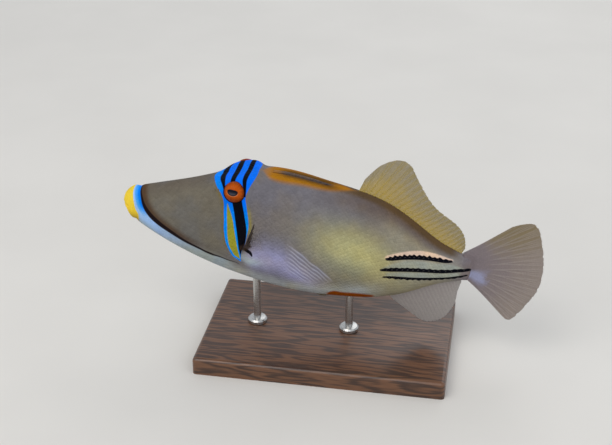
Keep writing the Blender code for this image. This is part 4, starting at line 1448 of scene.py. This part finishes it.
@dataclass
class ScaleCoat:
    """Low rhombic scale plates, side by side over the skin."""

    skin: Skin
    side: Side
    # Half the diagonals of a plate's cell, along the fish and round it.
    half_long: float = 1.45
    half_high: float = 1.22
    fill: float = 0.99
    rise: float = 0.045
    root: float = 0.03
    start: float = 19.0
    end: float = 195.0
    # Enlarged plates behind the gill opening: s, level, length and height.
    plates: tuple[tuple[float, ...], ...] = (
        (79.5, -2.8, 4.4, 3.2), (84.2, -0.6, 4.0, 3.0), (79.0, 1.4, 3.6, 2.8),
        (83.6, 3.6, 3.4, 2.6), (88.6, 2.2, 3.2, 2.6), (88.8, -2.6, 3.0, 2.4),
    )
    plate_rise: float = 0.16
    # A plate's corners as shares of its half diagonals, then the size of its flat top and
    # the height there, as shares.
    outline: tuple[Place, ...] = (
        (1.0, 0.0), (0.55, 0.55), (0.0, 1.0), (-0.55, 0.55), (-1.0, 0.0), (-0.55, -0.55), (0.0, -1.0), (0.55, -0.55),
    )
    top_size: float = 0.86
    top_height: float = 0.85
    # Distances that stay free of plates, round eyes, nostrils and the cheek line.
    eye_clear: float = 9.7
    nostril_clear: float = 2.4
    line_clear: float = 1.9
    seed: int = 7

    def centres(self) -> tuple[Array, Array]:
        """Middle of each plate as s and girth."""
        body, skin = self.skin.body, self.skin
        i, j = np.meshgrid(
            np.arange(int(self.start / self.half_long), int(self.end / self.half_long)),
            np.arange(1, int(body.half.max() / self.half_high)),
            indexing="ij",
        )
        keep = (i + j) % 2 == 0
        s, girth = i[keep] * self.half_long, j[keep] * self.half_high
        half = body.half_girth(s)
        share = np.clip(girth / half, 0.0, 1.0) * self.side.value
        points = body.bare(s, body.angle(s, share))
        ahead, _ = skin.markings.cheek_line.measure(s, girth)
        _, zone = skin.markings.folds(s, girth)
        free = (girth + self.half_high < half - 0.4) & ((s > 26.0) | (ahead > 3.0)) & (zone < 0.25)
        free &= (np.abs(ahead) > self.line_clear) | (s > 72.0)
        for socket in skin.sockets:
            free &= socket.reach(points) > self.eye_clear
        for place in skin.nostrils:
            spot = body.bare(place[0], body.angle_at_level(*place, self.side))
            free &= np.linalg.norm(points - spot, axis=1) > self.nostril_clear
        z = points[:, 2]
        free &= ~((np.abs(s - skin.gill_slit[0]) < 2.0) & (z > -14.5) & (z < 0.0))
        free &= ~((girth < 3.1) & (s > 77.5) & (s < 119.0))
        free &= ~((girth < 2.6) & (s > 119.0))
        free &= ~((half - girth < 2.6) & (s > 113.0))
        for at, level, length, height in self.plates:
            free &= np.hypot((s - at) / (length * 0.5 + 0.4), (z - level) / (height * 0.5 + 0.4)) > 1.0
        return s[free], girth[free]

    def form(self) -> Form:
        """All plates of this side as one mesh."""
        body, skin = self.skin.body, self.skin
        s, girth = self.centres()
        long, high = np.full(len(s), self.half_long * self.fill), np.full(len(s), self.half_high * self.fill)
        rise = self.rise * (0.55 + 0.45 * smooth(s, 50.0, 90.0))
        big = np.array(self.plates)
        s = np.append(s, big[:, 0])
        girth = np.append(girth, [body.girth_at_level(p[0], p[1]) for p in self.plates])
        long, high = np.append(long, big[:, 2] * 0.52), np.append(high, big[:, 3] * 0.52)
        rise = np.append(rise, np.full(len(big), self.plate_rise))
        outline = np.array(self.outline)
        sides = len(outline)
        offsets = np.concatenate((outline, outline * self.top_size, np.zeros((1, 2))))
        lifts = np.concatenate((np.full(sides, -1.0), np.full(sides, self.top_height), [1.0]))
        size = len(offsets)
        at_s = s[:, None] + long[:, None] * offsets[:, 0]
        at_g = girth[:, None] + high[:, None] * offsets[:, 1]
        lift = np.where(lifts > 0.0, rise[:, None] * lifts, -self.root)
        flat_s, flat_g = at_s.ravel(), at_g.ravel()
        share = np.clip(flat_g / body.half_girth(flat_s), 0.0, 0.9999) * self.side.value
        points = skin.place(flat_s, share, lift.ravel())
        one = [[k, (k + 1) % sides, sides + (k + 1) % sides, sides + k] for k in range(sides)]
        one += [[sides + k, sides + (k + 1) % sides, 2 * sides] for k in range(sides)]
        one.append(list(range(sides - 1, -1, -1)))
        if self.side is Side.RIGHT:
            one = [face[::-1] for face in one]
        faces = [[size * n + k for k in face] for n in range(len(s)) for face in one]
        fields = skin.all_fields(flat_s, share)
        random = np.random.default_rng(self.seed + self.side.value)
        fields["tone"] = np.repeat(random.random(len(s)), size)
        # Marks each plate's sunken rim, which the skin finish darkens as painted shade.
        fields["scale_rim"] = np.tile((lifts < 0.0).astype(float), len(s))
        corners = np.concatenate([np.array(face) for face in one])
        corners = (np.arange(len(s))[:, None] * size + corners).ravel()
        return Form(points, faces, fields, skin.unwrap(flat_s, share)[corners])


@dataclass
class Eye:
    """An eyeball with its iris and oval pupil."""

    socket: EyeSocket
    turns: int = 72
    rings: int = 36
    # Share of the socket's radius that the ball fills, along the fish and across.
    fill: tuple[float, float] = (0.97, 0.945)
    # Angle left open at both poles of the mesh before they are closed.
    pole: float = 0.06
    # Pupil: half length, height over and under its middle, power of its flat top, and
    # how far it stands towards the tail and up.
    pupil_long: float = 2.9
    pupil_over: float = 1.25
    pupil_under: float = 2.1
    pupil_power: float = 2.7
    pupil_shift: tuple[float, float] = (-0.2, 0.4)

    def form(self) -> Form:
        """The ball as a closed mesh."""
        socket = self.socket
        lat = np.linspace(self.pole, math.pi - self.pole, self.rings)
        turn = np.linspace(0.0, 2.0 * math.pi, self.turns, endpoint=False)
        radius = socket.radius * np.sin(lat)[:, None]
        x, y = self.fill[0] * radius * np.cos(turn), self.fill[1] * radius * np.sin(turn)
        height = np.broadcast_to(socket.depth * np.cos(lat)[:, None] - socket.sink, x.shape)
        local = np.stack((x, y, height), -1)
        made = tube(socket.axes.out(local.reshape(-1, 3)).reshape(local.shape))
        flat = local.reshape(-1, 3)
        reach = np.hypot(flat[:, 0], flat[:, 1]) / socket.radius
        around = np.arctan2(flat[:, 1], flat[:, 0])
        px = flat[:, 0] - self.pupil_shift[0]
        py = -socket.side.value * flat[:, 1] - self.pupil_shift[1]
        high = np.where(py > 0.0, self.pupil_over, self.pupil_under)
        power = np.where(py > 0.0, self.pupil_power, 2.0)
        oval = 1.0 - (np.abs(px / self.pupil_long) ** power + np.abs(py / high) ** power) ** (1.0 / power)
        front = flat[:, 2] > -socket.sink
        made.fields["pupil"] = np.where(front, oval * high, -9.0)
        made.fields["pupil_level"] = py
        made.fields["eye_reach"] = reach
        made.fields["streak"] = np.stack((3.0 * np.cos(around), 3.0 * np.sin(around), 0.8 * reach), -1)
        return made


@dataclass
class RayedSheet:
    """The mesh of a fin: branching rays in a thin web, closed all round."""

    rays: int
    steps: int
    rows: int
    forks: tuple[float, ...] = (0.34, 0.68)
    ray_half: tuple[float, float] = (0.46, 0.13)
    web_half: tuple[float, float] = (0.17, 0.06)
    ray_width: tuple[float, float] = (0.48, 0.20)
    notch: float = 0.5
    flare: float = 0.8
    # Extra half thickness of the leading ray, and its width at both ends.
    lead: float = 0.0
    lead_width: tuple[float, float] = (0.8, 0.5)
    # Fleshy foot of the fin: extra half thickness and reach, then where rays begin.
    flesh: tuple[float, float] = (0.0, 0.3)
    bare: tuple[float, float] = (-0.2, -0.1)
    swing: float = 0.2

    def form(self, root: Edge, tip: Edge, bend: Callable[[Array, Array], Array], thick: Edge) -> Form:
        """Build the sheet.

        Args:
            root: Share along the fin to the foot of the line there.
            tip: Share along the fin to its far end.
            bend: What is added to a point by its two shares.
            thick: Share along the fin to the way of its thickness.

        Returns:
            The closed sheet with its fields.
        """
        count = (self.rays - 1) * self.steps + 1
        u, t = np.linspace(0.0, 1.0, count), np.linspace(0.0, 1.0, self.rows)
        cell = u * (self.rays - 1)
        near = cell - np.round(cell)
        foot, end = root(u), tip(u)
        span = np.linalg.norm(np.gradient(end, axis=0), axis=1) * self.steps
        base_span = np.linalg.norm(np.gradient(foot, axis=0), axis=1) * self.steps
        width = base_span[:, None] * (1.0 - t) + span[:, None] * t
        ray = self.ray_mask(near, t, width)
        fray = 0.22 * np.sin(cell * 7.3) + 0.16 * np.sin(cell * 3.1 + 1.0)
        reach = np.linalg.norm(end - foot, axis=1)
        cut = (self.notch * (1.0 - ray[:, -1]) + np.abs(fray) * 0.6) / reach
        at = t[None, :] * (1.0 - cut[:, None] * t[None, :] ** 6)
        uu = np.broadcast_to(u[:, None], at.shape)
        middle = foot[:, None] + (end - foot)[:, None] * at[..., None] + bend(uu, at)
        ray_half = self.ray_half[0] + (self.ray_half[1] - self.ray_half[0]) * t
        web_half = self.web_half[0] + (self.web_half[1] - self.web_half[0]) * t
        half = web_half + (ray_half - web_half) * ray + self.flare * np.exp(-t / 0.05)
        half = half + self.flesh[0] * fall(t, 0.0, self.flesh[1]) ** 1.5
        across = np.cumsum(width, axis=0) / self.steps
        wide = self.lead_width[0] + (self.lead_width[1] - self.lead_width[0]) * t
        lead = fall(across / wide, 0.75, 1.1)
        half = half + self.lead * lead * (1.0 - 0.75 * t)
        offset = thick(u)[:, None] * half[..., None]
        points = np.concatenate(((middle + offset).reshape(-1, 3), (middle - offset).reshape(-1, 3)))
        made = Form(points, [])
        both = {"ray": ray, "reach": np.broadcast_to(t, ray.shape), "lead": lead, "share": uu}
        made.fields = {k: np.tile(v.ravel(), 2) for k, v in both.items()}
        self.close(made, count)
        return made

    def ray_mask(self, near: Array, t: Array, width: Array) -> Array:
        """1 on the middle of a ray, 0 on the web.

        Args:
            near: Shares of a cell from the nearest ray.
            t: Shares of the way out.
            width: Cell widths in millimetres.

        Returns:
            The mask over both.
        """
        spread = self.ray_width[0] + (self.ray_width[1] - self.ray_width[0]) * t
        offsets = [np.zeros_like(t)]
        for i, fork in enumerate(self.forks):
            swing = self.swing * 0.5**i * smooth(t, fork, min(1.0, fork + 0.4))
            offsets = [line + sign * swing for line in offsets for sign in (-1.0, 1.0)]
        masks = [np.exp(-(((near[:, None] - line) * width / spread) ** 2)) for line in offsets]
        return np.max(masks, axis=0) * smooth(t, *self.bare)

    def close(self, made: Form, count: int) -> None:
        """Add faces and the unwrap.

        Args:
            made: The form to finish.
            count: Columns of the sheet.
        """
        rows, size = self.rows, count * self.rows
        a = (np.arange(count - 1)[:, None] * rows + np.arange(rows - 1)).ravel()
        front = np.stack((a, a + rows, a + rows + 1, a + 1), -1)
        back = size + front[:, ::-1]
        rim = [i * rows for i in range(count)]
        rim += [(count - 1) * rows + j for j in range(1, rows)]
        rim += [i * rows + rows - 1 for i in range(count - 2, -1, -1)]
        rim += list(range(rows - 2, 0, -1))
        rim = np.array(rim)
        after = np.roll(rim, -1)
        edge = np.stack((rim, size + rim, size + after, after), -1)
        made.faces = np.concatenate((front, back, edge)).tolist()
        u, t = (np.arange(size) // rows) / (count - 1), (np.arange(size) % rows) / (rows - 1)
        flat = np.stack((0.01 + 0.47 * u, 0.01 + 0.93 * t), -1)
        along = np.arange(len(rim)) / len(rim)
        after_along = along + 1.0 / len(rim)
        corners = ((along, 0.96), (along, 0.99), (after_along, 0.99), (after_along, 0.96))
        strip = np.stack([np.stack((x, np.full(len(rim), y)), -1) for x, y in corners], 1).reshape(-1, 2)
        made.unwrap = np.concatenate((flat[front.ravel()], flat[back.ravel() - size] + (0.51, 0.0), strip))


@dataclass
class MidlineFin:
    """The second dorsal or the anal fin, rooted on the back or belly line."""

    sheet: RayedSheet
    base: Place
    tips: tuple[tuple[float, float, float], ...]
    lean: float
    edge: Edge
    sink: float

    def form(self) -> Form:
        """The fin's mesh."""
        shares, tip_s, tip_z = zip(*self.tips, strict=True)
        line_s, line_z = Curve(shares, tip_s), Curve(shares, tip_z)
        slope = math.tan(math.radians(self.lean))

        def root(u: Array) -> Array:
            """Foot of the line."""
            s = self.base[0] + (self.base[1] - self.base[0]) * u
            return np.stack((s, 0.0 * s, self.edge(s) - self.sink), -1)

        def tip(u: Array) -> Array:
            """End of the line."""
            z = line_z(u)
            return np.stack((line_s(u), slope * np.abs(z - root(u)[:, 2]), z), -1)

        def wave(u: Array, t: Array) -> Array:
            """Gentle ripple of the web."""
            y = 0.9 * t * t * np.sin(5.0 * u + 0.6) + 0.05 * t * np.sin(u * (self.sheet.rays - 1) * 2.0 * math.pi)
            return np.stack((0.0 * y, y, 0.0 * y), -1)

        return self.sheet.form(root, tip, wave, lambda u: np.broadcast_to(SIDEWAYS, (len(u), 3)))


@dataclass
class CaudalFin:
    """The tail fin: a fan that wraps the end of the body and ends almost straight."""

    sheet: RayedSheet = field(
        default_factory=lambda: RayedSheet(
            13, 26, 84, (0.3, 0.52, 0.74), (0.36, 0.12), (0.2, 0.07), (0.5, 0.18), 0.45, 0.35,
            flesh=(1.15, 0.5), bare=(0.16, 0.46),
        )
    )
    roots: tuple[tuple[float, float, float], ...] = ((0.0, 191.4, 6.5), (0.5, 196.8, -0.7), (1.0, 196.4, -8.0))
    tips: tuple[tuple[float, float, float], ...] = (
        (0.00, 214.0, 28.9), (0.04, 219.0, 31.5), (0.09, 224.3, 32.7), (0.14, 227.6, 30.6), (0.20, 229.6, 26.8),
        (0.28, 231.8, 21.0), (0.38, 234.0, 13.9), (0.48, 235.6, 6.0), (0.56, 236.0, -1.0), (0.64, 235.2, -7.5),
        (0.72, 233.3, -12.8), (0.80, 230.6, -18.8), (0.87, 228.0, -23.8), (0.93, 225.2, -28.0), (0.97, 222.0, -28.6),
        (1.00, 217.6, -25.2),
    )

    def form(self) -> Form:
        """The fin's mesh."""
        ends = (zip(*self.roots, strict=True), zip(*self.tips, strict=True))
        lines = [[Curve(shares, values) for values in rest] for shares, *rest in ends]

        def root(u: Array) -> Array:
            """Foot of the line, inside the end of the body."""
            return np.stack((lines[0][0](u), 0.0 * u, lines[0][1](u)), -1)

        def tip(u: Array) -> Array:
            """End of the line."""
            return np.stack((lines[1][0](u), 0.0 * u, lines[1][1](u)), -1)

        def ripple(u: Array, t: Array) -> Array:
            """Gentle waves of the web."""
            y = 0.8 * t * t * np.sin(4.0 * u) + 0.12 * t * np.sin(u * 24.0 * math.pi)
            return np.stack((0.0 * y, y, 0.0 * y), -1)

        return self.sheet.form(root, tip, ripple, lambda u: np.broadcast_to(SIDEWAYS, (len(u), 3)))


@dataclass
class PectoralFin:
    """One pectoral fin, spread out and up from its slanting root."""

    body: BodyShape
    side: Side
    sheet: RayedSheet = field(
        default_factory=lambda: RayedSheet(
            13, 14, 60, (0.45, 0.75), (0.34, 0.11), (0.11, 0.05), (0.32, 0.16), 0.5, 0.2,
            lead=0.4, lead_width=(3.6, 0.7), flesh=(0.7, 0.14), bare=(0.08, 0.2),
        )
    )
    top: Place = (74.6, -3.8)
    bottom: Place = (75.8, -9.6)
    first: tuple[float, float, float] = (0.20, 0.50, 0.84)
    last: tuple[float, float, float] = (0.58, 0.60, 0.60)
    lengths: tuple[float, ...] = (25.0, 27.0, 25.0, 21.0, 17.0)
    cup: float = 2.2
    sink: float = 1.5

    def form(self) -> Form:
        """The fin's mesh."""
        first, last = unit(np.array(self.first)), unit(np.array(self.last))
        mirror = np.array((1.0, self.side.value, 1.0))
        broad = unit(np.cross(first, last)) * mirror
        length = Curve(np.linspace(0.0, 1.0, len(self.lengths)), self.lengths)

        def foot(u: Array) -> tuple[Array, Array]:
            """Skin points under the root, with their outward ways."""
            s = self.top[0] + (self.bottom[0] - self.top[0]) * u
            z = self.top[1] + (self.bottom[1] - self.top[1]) * u
            return self.body.surface(s, self.body.angle_at_level(s, z, self.side))

        def root(u: Array) -> Array:
            """Foot of the line, just under the skin."""
            spot, out = foot(u)
            return spot - out * self.sink

        def tip(u: Array) -> Array:
            """End of the line."""
            spot, out = foot(u)
            way = unit(first + (last - first) * u[:, None]) * mirror
            return spot + out * 0.45 + way * length(u)[:, None]

        def cupped(u: Array, t: Array) -> Array:
            """The fin's hollow, with a gentle ripple."""
            rise = self.cup * np.sin(math.pi * u) * t * t + 0.14 * t * np.sin(u * 24.0 * math.pi)
            return broad * rise[..., None]

        return self.sheet.form(root, tip, cupped, lambda u: np.broadcast_to(broad, (len(u), 3)))


@dataclass
class FoldedDorsal:
    """The first dorsal fin, folded flat into its groove."""

    body: BodyShape
    start: float = 80.5
    end: float = 116.0
    half_width: float = 1.5
    depth: float = 2.4
    pleats: int = 5
    pleat_rise: float = 0.22
    # The front is ochre up to here.
    ochre: tuple[float, float] = (83.5, 88.5)
    # Spines: foot, length, radius and sideways place.
    spines: tuple[tuple[float, float, float, float], ...] = (
        (82.0, 27.0, 1.25, 0.0),
        (86.5, 19.0, 0.8, 0.55),
        (90.5, 14.0, 0.65, -0.55),
    )

    def web(self) -> Form:
        """The dark folded web."""
        steps, corners = 90, 64
        share = np.linspace(0.0, 1.0, steps)
        s = self.start + (self.end - self.start) * share
        taper = np.maximum(0.16, np.sin(math.pi * np.minimum(1.0, 0.12 + share * 0.88)) ** 0.6)
        turn = np.linspace(0.0, 2.0 * math.pi, corners, endpoint=False)
        half = self.half_width * taper[:, None]
        y = half * np.sin(turn)
        height = self.depth * taper[:, None] * 0.5
        z = self.body.back(s)[:, None] - height + height * np.cos(turn) * 1.02
        upper = np.cos(turn) > 0.0
        wander = 0.4 * np.sin(s * 0.33)[:, None]
        pleat = self.pleat_rise * np.cos(self.pleats * math.pi * y / self.half_width + wander)
        z = z + np.where(upper, pleat * taper[:, None] - 0.1, 0.0)
        return self.fronted(tube(np.stack((np.broadcast_to(s[:, None], y.shape), y, z), -1)))

    def fronted(self, made: Form) -> Form:
        """A form with the field that marks its ochre front."""
        made.fields["front"] = fall(made.points[:, 0], *self.ochre)
        return made

    def spine_set(self) -> Form:
        """The three spines, the first one thick and rough."""
        parts: Form | None = None
        for s, length, radius, y in self.spines:
            share = np.linspace(0.0, 1.0, 46)
            at = s + length * share
            wide = radius * (1.0 - 0.62 * share) * np.sqrt(np.clip((1.02 - share) * 9.0, 0.0, 1.0))
            turn = np.linspace(0.0, 2.0 * math.pi, 20, endpoint=False)
            rough = 1.0 + 0.07 * np.sin(at * 5.1)[:, None] * np.cos(turn * 3.0)
            z = self.body.back(at) - 0.35 + 0.28 * share
            ring_y = y * (0.6 + 0.4 * share)[:, None] + wide[:, None] * rough * np.sin(turn)
            ring_z = z[:, None] + 0.8 * wide[:, None] * rough * np.cos(turn)
            ring = tube(np.stack((np.broadcast_to(at[:, None], ring_y.shape), ring_y, ring_z), -1))
            parts = ring if parts is None else parts.joined(ring)
        return self.fronted(parts)


@dataclass
class TailThorns:
    """The curved thorns of the spine rows on both sides of the tail."""

    body: BodyShape
    rows: tuple[SpineRow, ...]
    height: float = 1.05
    half_base: float = 0.95
    root: float = 0.35
    lean: float = 0.95

    def form(self) -> Form:
        """All thorns as one mesh."""
        parts: list[Form] = []
        t = np.linspace(0.0, 1.0, 7)
        turn = np.linspace(0.0, 2.0 * math.pi, 10, endpoint=False)
        for side in Side:
            for row in self.rows:
                path = row.line.path()
                along = np.linspace(0.01, 0.965, row.count)
                at = np.stack([np.interp(along, np.linspace(0.0, 1.0, len(path)), line) for line in path.T])
                turns = self.body.angle(at[0], side.value * at[1] / self.body.half_girth(at[0]))
                spots, outs = self.body.surface(at[0], turns)
                for share, spot, out in zip(along, spots, outs, strict=True):
                    scale = row.half_height * (0.62 + 0.24 * math.sin(math.pi * min(1.0, share + 0.12)))
                    axes = Axes.at(spot, out)
                    radius = self.half_base * scale * ((1.0 - t) ** 1.5 * 0.94 + 0.06)
                    x = radius[:, None] * np.cos(turn) - (self.lean * scale * t**1.6)[:, None]
                    y = 0.72 * radius[:, None] * np.sin(turn)
                    height = np.broadcast_to((-self.root + (self.height * scale + self.root) * t)[:, None], x.shape)
                    local = np.stack((x, y, height), -1)
                    parts.append(tube(axes.out(local.reshape(-1, 3)).reshape(local.shape)))
        points = np.concatenate([part.points for part in parts])
        size = len(parts[0].points)
        faces = [[size * n + k for k in face] for n, part in enumerate(parts) for face in part.faces]
        return Form(points, faces)


@dataclass
class PelvicKnob:
    """The blunt, rough knob at the end of the pelvis."""

    body: BodyShape
    start: float = 114.6
    end: float = 123.7
    drop: float = 2.0
    sink: float = 0.4
    half_width: float = 1.35

    def form(self) -> Form:
        """The knob with its rows of small teeth."""
        share = np.linspace(0.0, 1.0, 60)
        s = self.start + (self.end - self.start) * share
        arch = 0.25 + 0.75 * np.sin(math.pi * np.minimum(1.0, 0.12 + share * 0.82))
        close = np.sqrt(np.clip(share * 14.0, 0.0, 1.0) * np.clip((1.01 - share) * 9.0, 0.0, 1.0))
        swell = (arch * close)[:, None]
        turn = np.linspace(0.0, 2.0 * math.pi, 40, endpoint=False)
        teeth = 1.0 + 0.13 * np.abs(np.sin(share * 14.0))[:, None] * np.abs(np.cos(turn * 4.0))
        y = self.half_width * swell * teeth * np.sin(turn)
        depth = (self.drop + self.sink) * swell * (0.5 - 0.5 * teeth * np.cos(turn))
        z = self.body.belly(s)[:, None] + self.sink - depth
        return tube(np.stack((np.broadcast_to(s[:, None], y.shape), y, z), -1))


@dataclass(frozen=True)
class Studio:
    """Floor, soft light and the camera at the photograph's angle."""

    azimuth: float = 10.0
    elevation: float = 28.0
    lens: float = 70.0
    sensor: float = 36.0
    distance: float = 0.67
    image: tuple[int, int] = (612, 445)
    snout_pixel: tuple[int, int] = (125, 197)
    floor: Paint = (224, 221, 215)
    floor_reach: float = 6.0
    sky: Paint = (236, 240, 246)
    sky_strength: float = 0.72
    # What the lamps are aimed at, in metres.
    aim: tuple[float, float, float] = (0.0, 0.0, 0.08)

    def camera(self, frame: FishFrame) -> None:
        """Set the camera so that the snout falls on its pixel.

        Args:
            frame: The fish's axes.
        """
        a, e = math.radians(self.azimuth), math.radians(self.elevation)
        back = Vector((math.sin(a) * math.cos(e), -math.cos(a) * math.cos(e), math.sin(e)))
        right = Vector((math.cos(a), math.sin(a), 0.0))
        up = back.cross(right)
        focal = self.image[0] * self.lens / self.sensor
        across = (self.snout_pixel[0] - self.image[0] / 2.0) / focal * self.distance
        above = (self.image[1] / 2.0 - self.snout_pixel[1]) / focal * self.distance
        data = bpy.data.cameras.new("camera")
        data.lens, data.sensor_width, data.sensor_fit = self.lens, self.sensor, "HORIZONTAL"
        data.clip_start, data.clip_end = 0.01, 20.0
        made = bpy.data.objects.new("camera", data)
        bpy.context.scene.collection.objects.link(made)
        snout = Vector(frame.origin)
        place = snout - right * across - up * above + back * self.distance
        made.matrix_world = Matrix.Translation(place) @ Matrix((right, up, back)).transposed().to_4x4()
        bpy.context.scene.camera = made

    def area(self, name: str, place: tuple[float, float, float], size: float, power: float, tint: Paint) -> None:
        """A soft square lamp aimed at the model.

        Args:
            name: Its name.
            place: Where it hangs, in metres.
            size: Side length in metres.
            power: Watts.
            tint: Colour of its light.
        """
        data = bpy.data.lights.new(name, "AREA")
        data.size, data.energy, data.color = size, power, linear(tint)[:3]
        made = bpy.data.objects.new(name, data)
        bpy.context.scene.collection.objects.link(made)
        made.location = place
        made.rotation_euler = (Vector(self.aim) - Vector(place)).to_track_quat("-Z", "Y").to_euler()

    def build(self, frame: FishFrame) -> None:
        """Floor, lamps, sky and camera.

        Args:
            frame: The fish's axes.
        """
        self.camera(frame)
        mesh = bpy.data.meshes.new("floor")
        corners = [(x * self.floor_reach, y * self.floor_reach, 0.0) for x, y in ((-1, -1), (1, -1), (1, 1), (-1, 1))]
        mesh.from_pydata(corners, [], [(0, 1, 2, 3)])
        book = NodeBook("floor")
        tone = book.ramp(book.noise(9.0, 3.0), 0.2, 0.8, 0.97, 1.02)
        book.set(Base_Color=book.shaded(linear(self.floor), tone), Roughness=0.75, Specular_IOR_Level=0.2)
        mesh.materials.append(book.material)
        floor = bpy.data.objects.new("floor", mesh)
        bpy.context.scene.collection.objects.link(floor)
        world = bpy.data.worlds.new("studio")
        world.use_nodes = True
        sky = world.node_tree.nodes["Background"]
        sky.inputs["Color"].default_value = linear(self.sky)
        sky.inputs["Strength"].default_value = self.sky_strength
        scene = bpy.context.scene
        scene.world = world
        scene.view_settings.view_transform = "Standard"
        self.area("key", (-0.5, -0.9, 1.3), 1.0, 8.5, (255, 250, 244))
        self.area("fill", (0.9, -0.9, 0.7), 1.0, 3.0, (240, 246, 255))
        self.area("back", (0.3, 1.0, 0.9), 0.8, 2.5, (255, 255, 255))


def dress_stand(nodes: dict[str, bpy.types.Object]) -> None:
    """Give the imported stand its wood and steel.

    Args:
        nodes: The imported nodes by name.
    """
    wood, steel = WoodFinish().material(), SteelFinish().material()
    for name, node in nodes.items():
        if name.startswith("stand_"):
            base = name == "stand_base"
            node.data.materials.clear()
            node.data.materials.append(wood if base else steel)
            LOG.info("%s: packed node with a new finish", name)


def build_fins(body: BodyShape, frame: FishFrame) -> None:
    """Every rayed fin.

    Args:
        body: The bare form.
        frame: The fish's axes.
    """
    dorsal_tips = (
        (0.00, 131.6, 39.2), (0.025, 135.0, 44.0), (0.055, 139.1, 48.6), (0.09, 145.2, 52.2), (0.125, 150.6, 52.9),
        (0.165, 154.8, 50.8), (0.21, 157.4, 47.4), (0.285, 161.2, 42.1), (0.42, 168.0, 33.8), (0.56, 175.6, 28.0),
        (0.69, 183.6, 23.8), (0.83, 189.6, 18.0), (1.00, 191.8, 10.2),
    )
    anal_tips = (
        (0.00, 159.0, -31.6), (0.10, 167.6, -36.8), (0.22, 176.2, -41.7), (0.34, 181.6, -41.6), (0.46, 186.0, -39.2),
        (0.58, 189.2, -35.2), (0.70, 191.4, -30.0), (0.82, 192.9, -23.6), (0.92, 192.8, -17.3), (1.00, 193.8, -11.0),
    )
    dorsal_sheet = RayedSheet(24, 18, 72, ray_half=(0.32, 0.12), notch=0.2, swing=0.16)
    anal_sheet = RayedSheet(21, 14, 60, ray_half=(0.25, 0.1), notch=0.25, swing=0.18)
    dorsal = MidlineFin(dorsal_sheet, (129.0, 190.0), dorsal_tips, 8.0, body.back, 0.9)
    anal = MidlineFin(anal_sheet, (155.3, 192.8), anal_tips, 3.0, body.belly, -0.9)
    khaki = FinFinish("dorsal_web", (186, 160, 76), (160, 147, 116), (198, 178, 104), 0.72, 0.93, 38.0, 0.4)
    pale = FinFinish("anal_web", (172, 164, 160), (178, 172, 168), (184, 177, 171), 0.9, 0.96, 34.0, 0.3)
    mauve = FinFinish(
        "caudal_web", (140, 128, 131), (158, 145, 136), (186, 174, 168), 0.88, 0.97, 44.0, 0.5,
        upper=(146, 130, 98), sheen_patch=(168, 170, 200),
    )
    clear = FinFinish(
        "pectoral_web", (60, 45, 34), (160, 154, 148), (140, 126, 110), 0.03, 0.1, 26.0, lead=(56, 40, 30),
    )
    dorsal.form().piece("second_dorsal", frame, khaki.material(), Slot.FINS, ("second_dorsal_fin",))
    anal.form().piece("anal", frame, pale.material(), Slot.FINS, ("anal_fin",))
    CaudalFin().form().piece("caudal", frame, mauve.material(), Slot.FINS, ("caudal_fin",))
    look = clear.material()
    for side in Side:
        word = side.name.lower()
        PectoralFin(body, side).form().piece(f"pectoral_{word}", frame, look, Slot.FINS, (f"pectoral_fin_{word}",))


def main() -> None:
    """Build every piece in order."""
    logging.basicConfig(level=logging.INFO, format="%(name)s: %(message)s", force=True)
    for old in list(bpy.data.objects):
        bpy.data.objects.remove(old, do_unlink=True)
    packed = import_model()

    body = BodyShape()
    sockets = [EyeSocket.on(body, side) for side in Side]
    frame = FishFrame.from_eyes(sockets)
    LOG.info("the snout tip stands at %s", np.round(frame.origin, 6))
    Studio().build(frame)
    dress_stand(packed["nodes"])

    markings = Markings(body)
    skin = Skin(body, markings, sockets)
    look = SkinFinish().material()
    skin.form().piece("skin", frame, look, Slot.SKIN, ("head", "trunk", "tail", "upper_lip", "lower_lip"))
    for side in Side:
        ScaleCoat(skin, side).form().piece(f"scales_{side.name.lower()}", frame, look, Slot.SKIN)
    iris = EyeFinish().material()
    for socket in sockets:
        word = socket.side.name.lower()
        Eye(socket).form().piece(f"eyeball_{word}", frame, iris, Slot.EYES, (f"eye_{word}",))
    build_fins(body, frame)
    horn = HornFinish("dark_horn", (10, 9, 13), (24, 21, 24), 0.65)
    folded = FoldedDorsal(body)
    web = HornFinish("folded_web", (52, 38, 36), (84, 66, 54), 0.6, front=(158, 106, 10))
    folded.web().piece("folded_web", frame, web.material(), Slot.SPINES, ("first_dorsal_fin",))
    spine = HornFinish("trigger_horn", (62, 46, 40), (100, 76, 56), 0.55, front=(140, 92, 14))
    folded.spine_set().piece("trigger_spines", frame, spine.material(), Slot.SPINES)
    TailThorns(body, markings.rows).form().piece("tail_thorns", frame, horn.material(), Slot.SPINES)
    olive = HornFinish("pelvic_olive", (84, 74, 54), (122, 108, 84), 0.6, 1400.0)
    PelvicKnob(body).form().piece("pelvic_knob", frame, olive.material(), Slot.SPINES, ("pelvic_spine",))


if __name__ == "__main__":
    main()
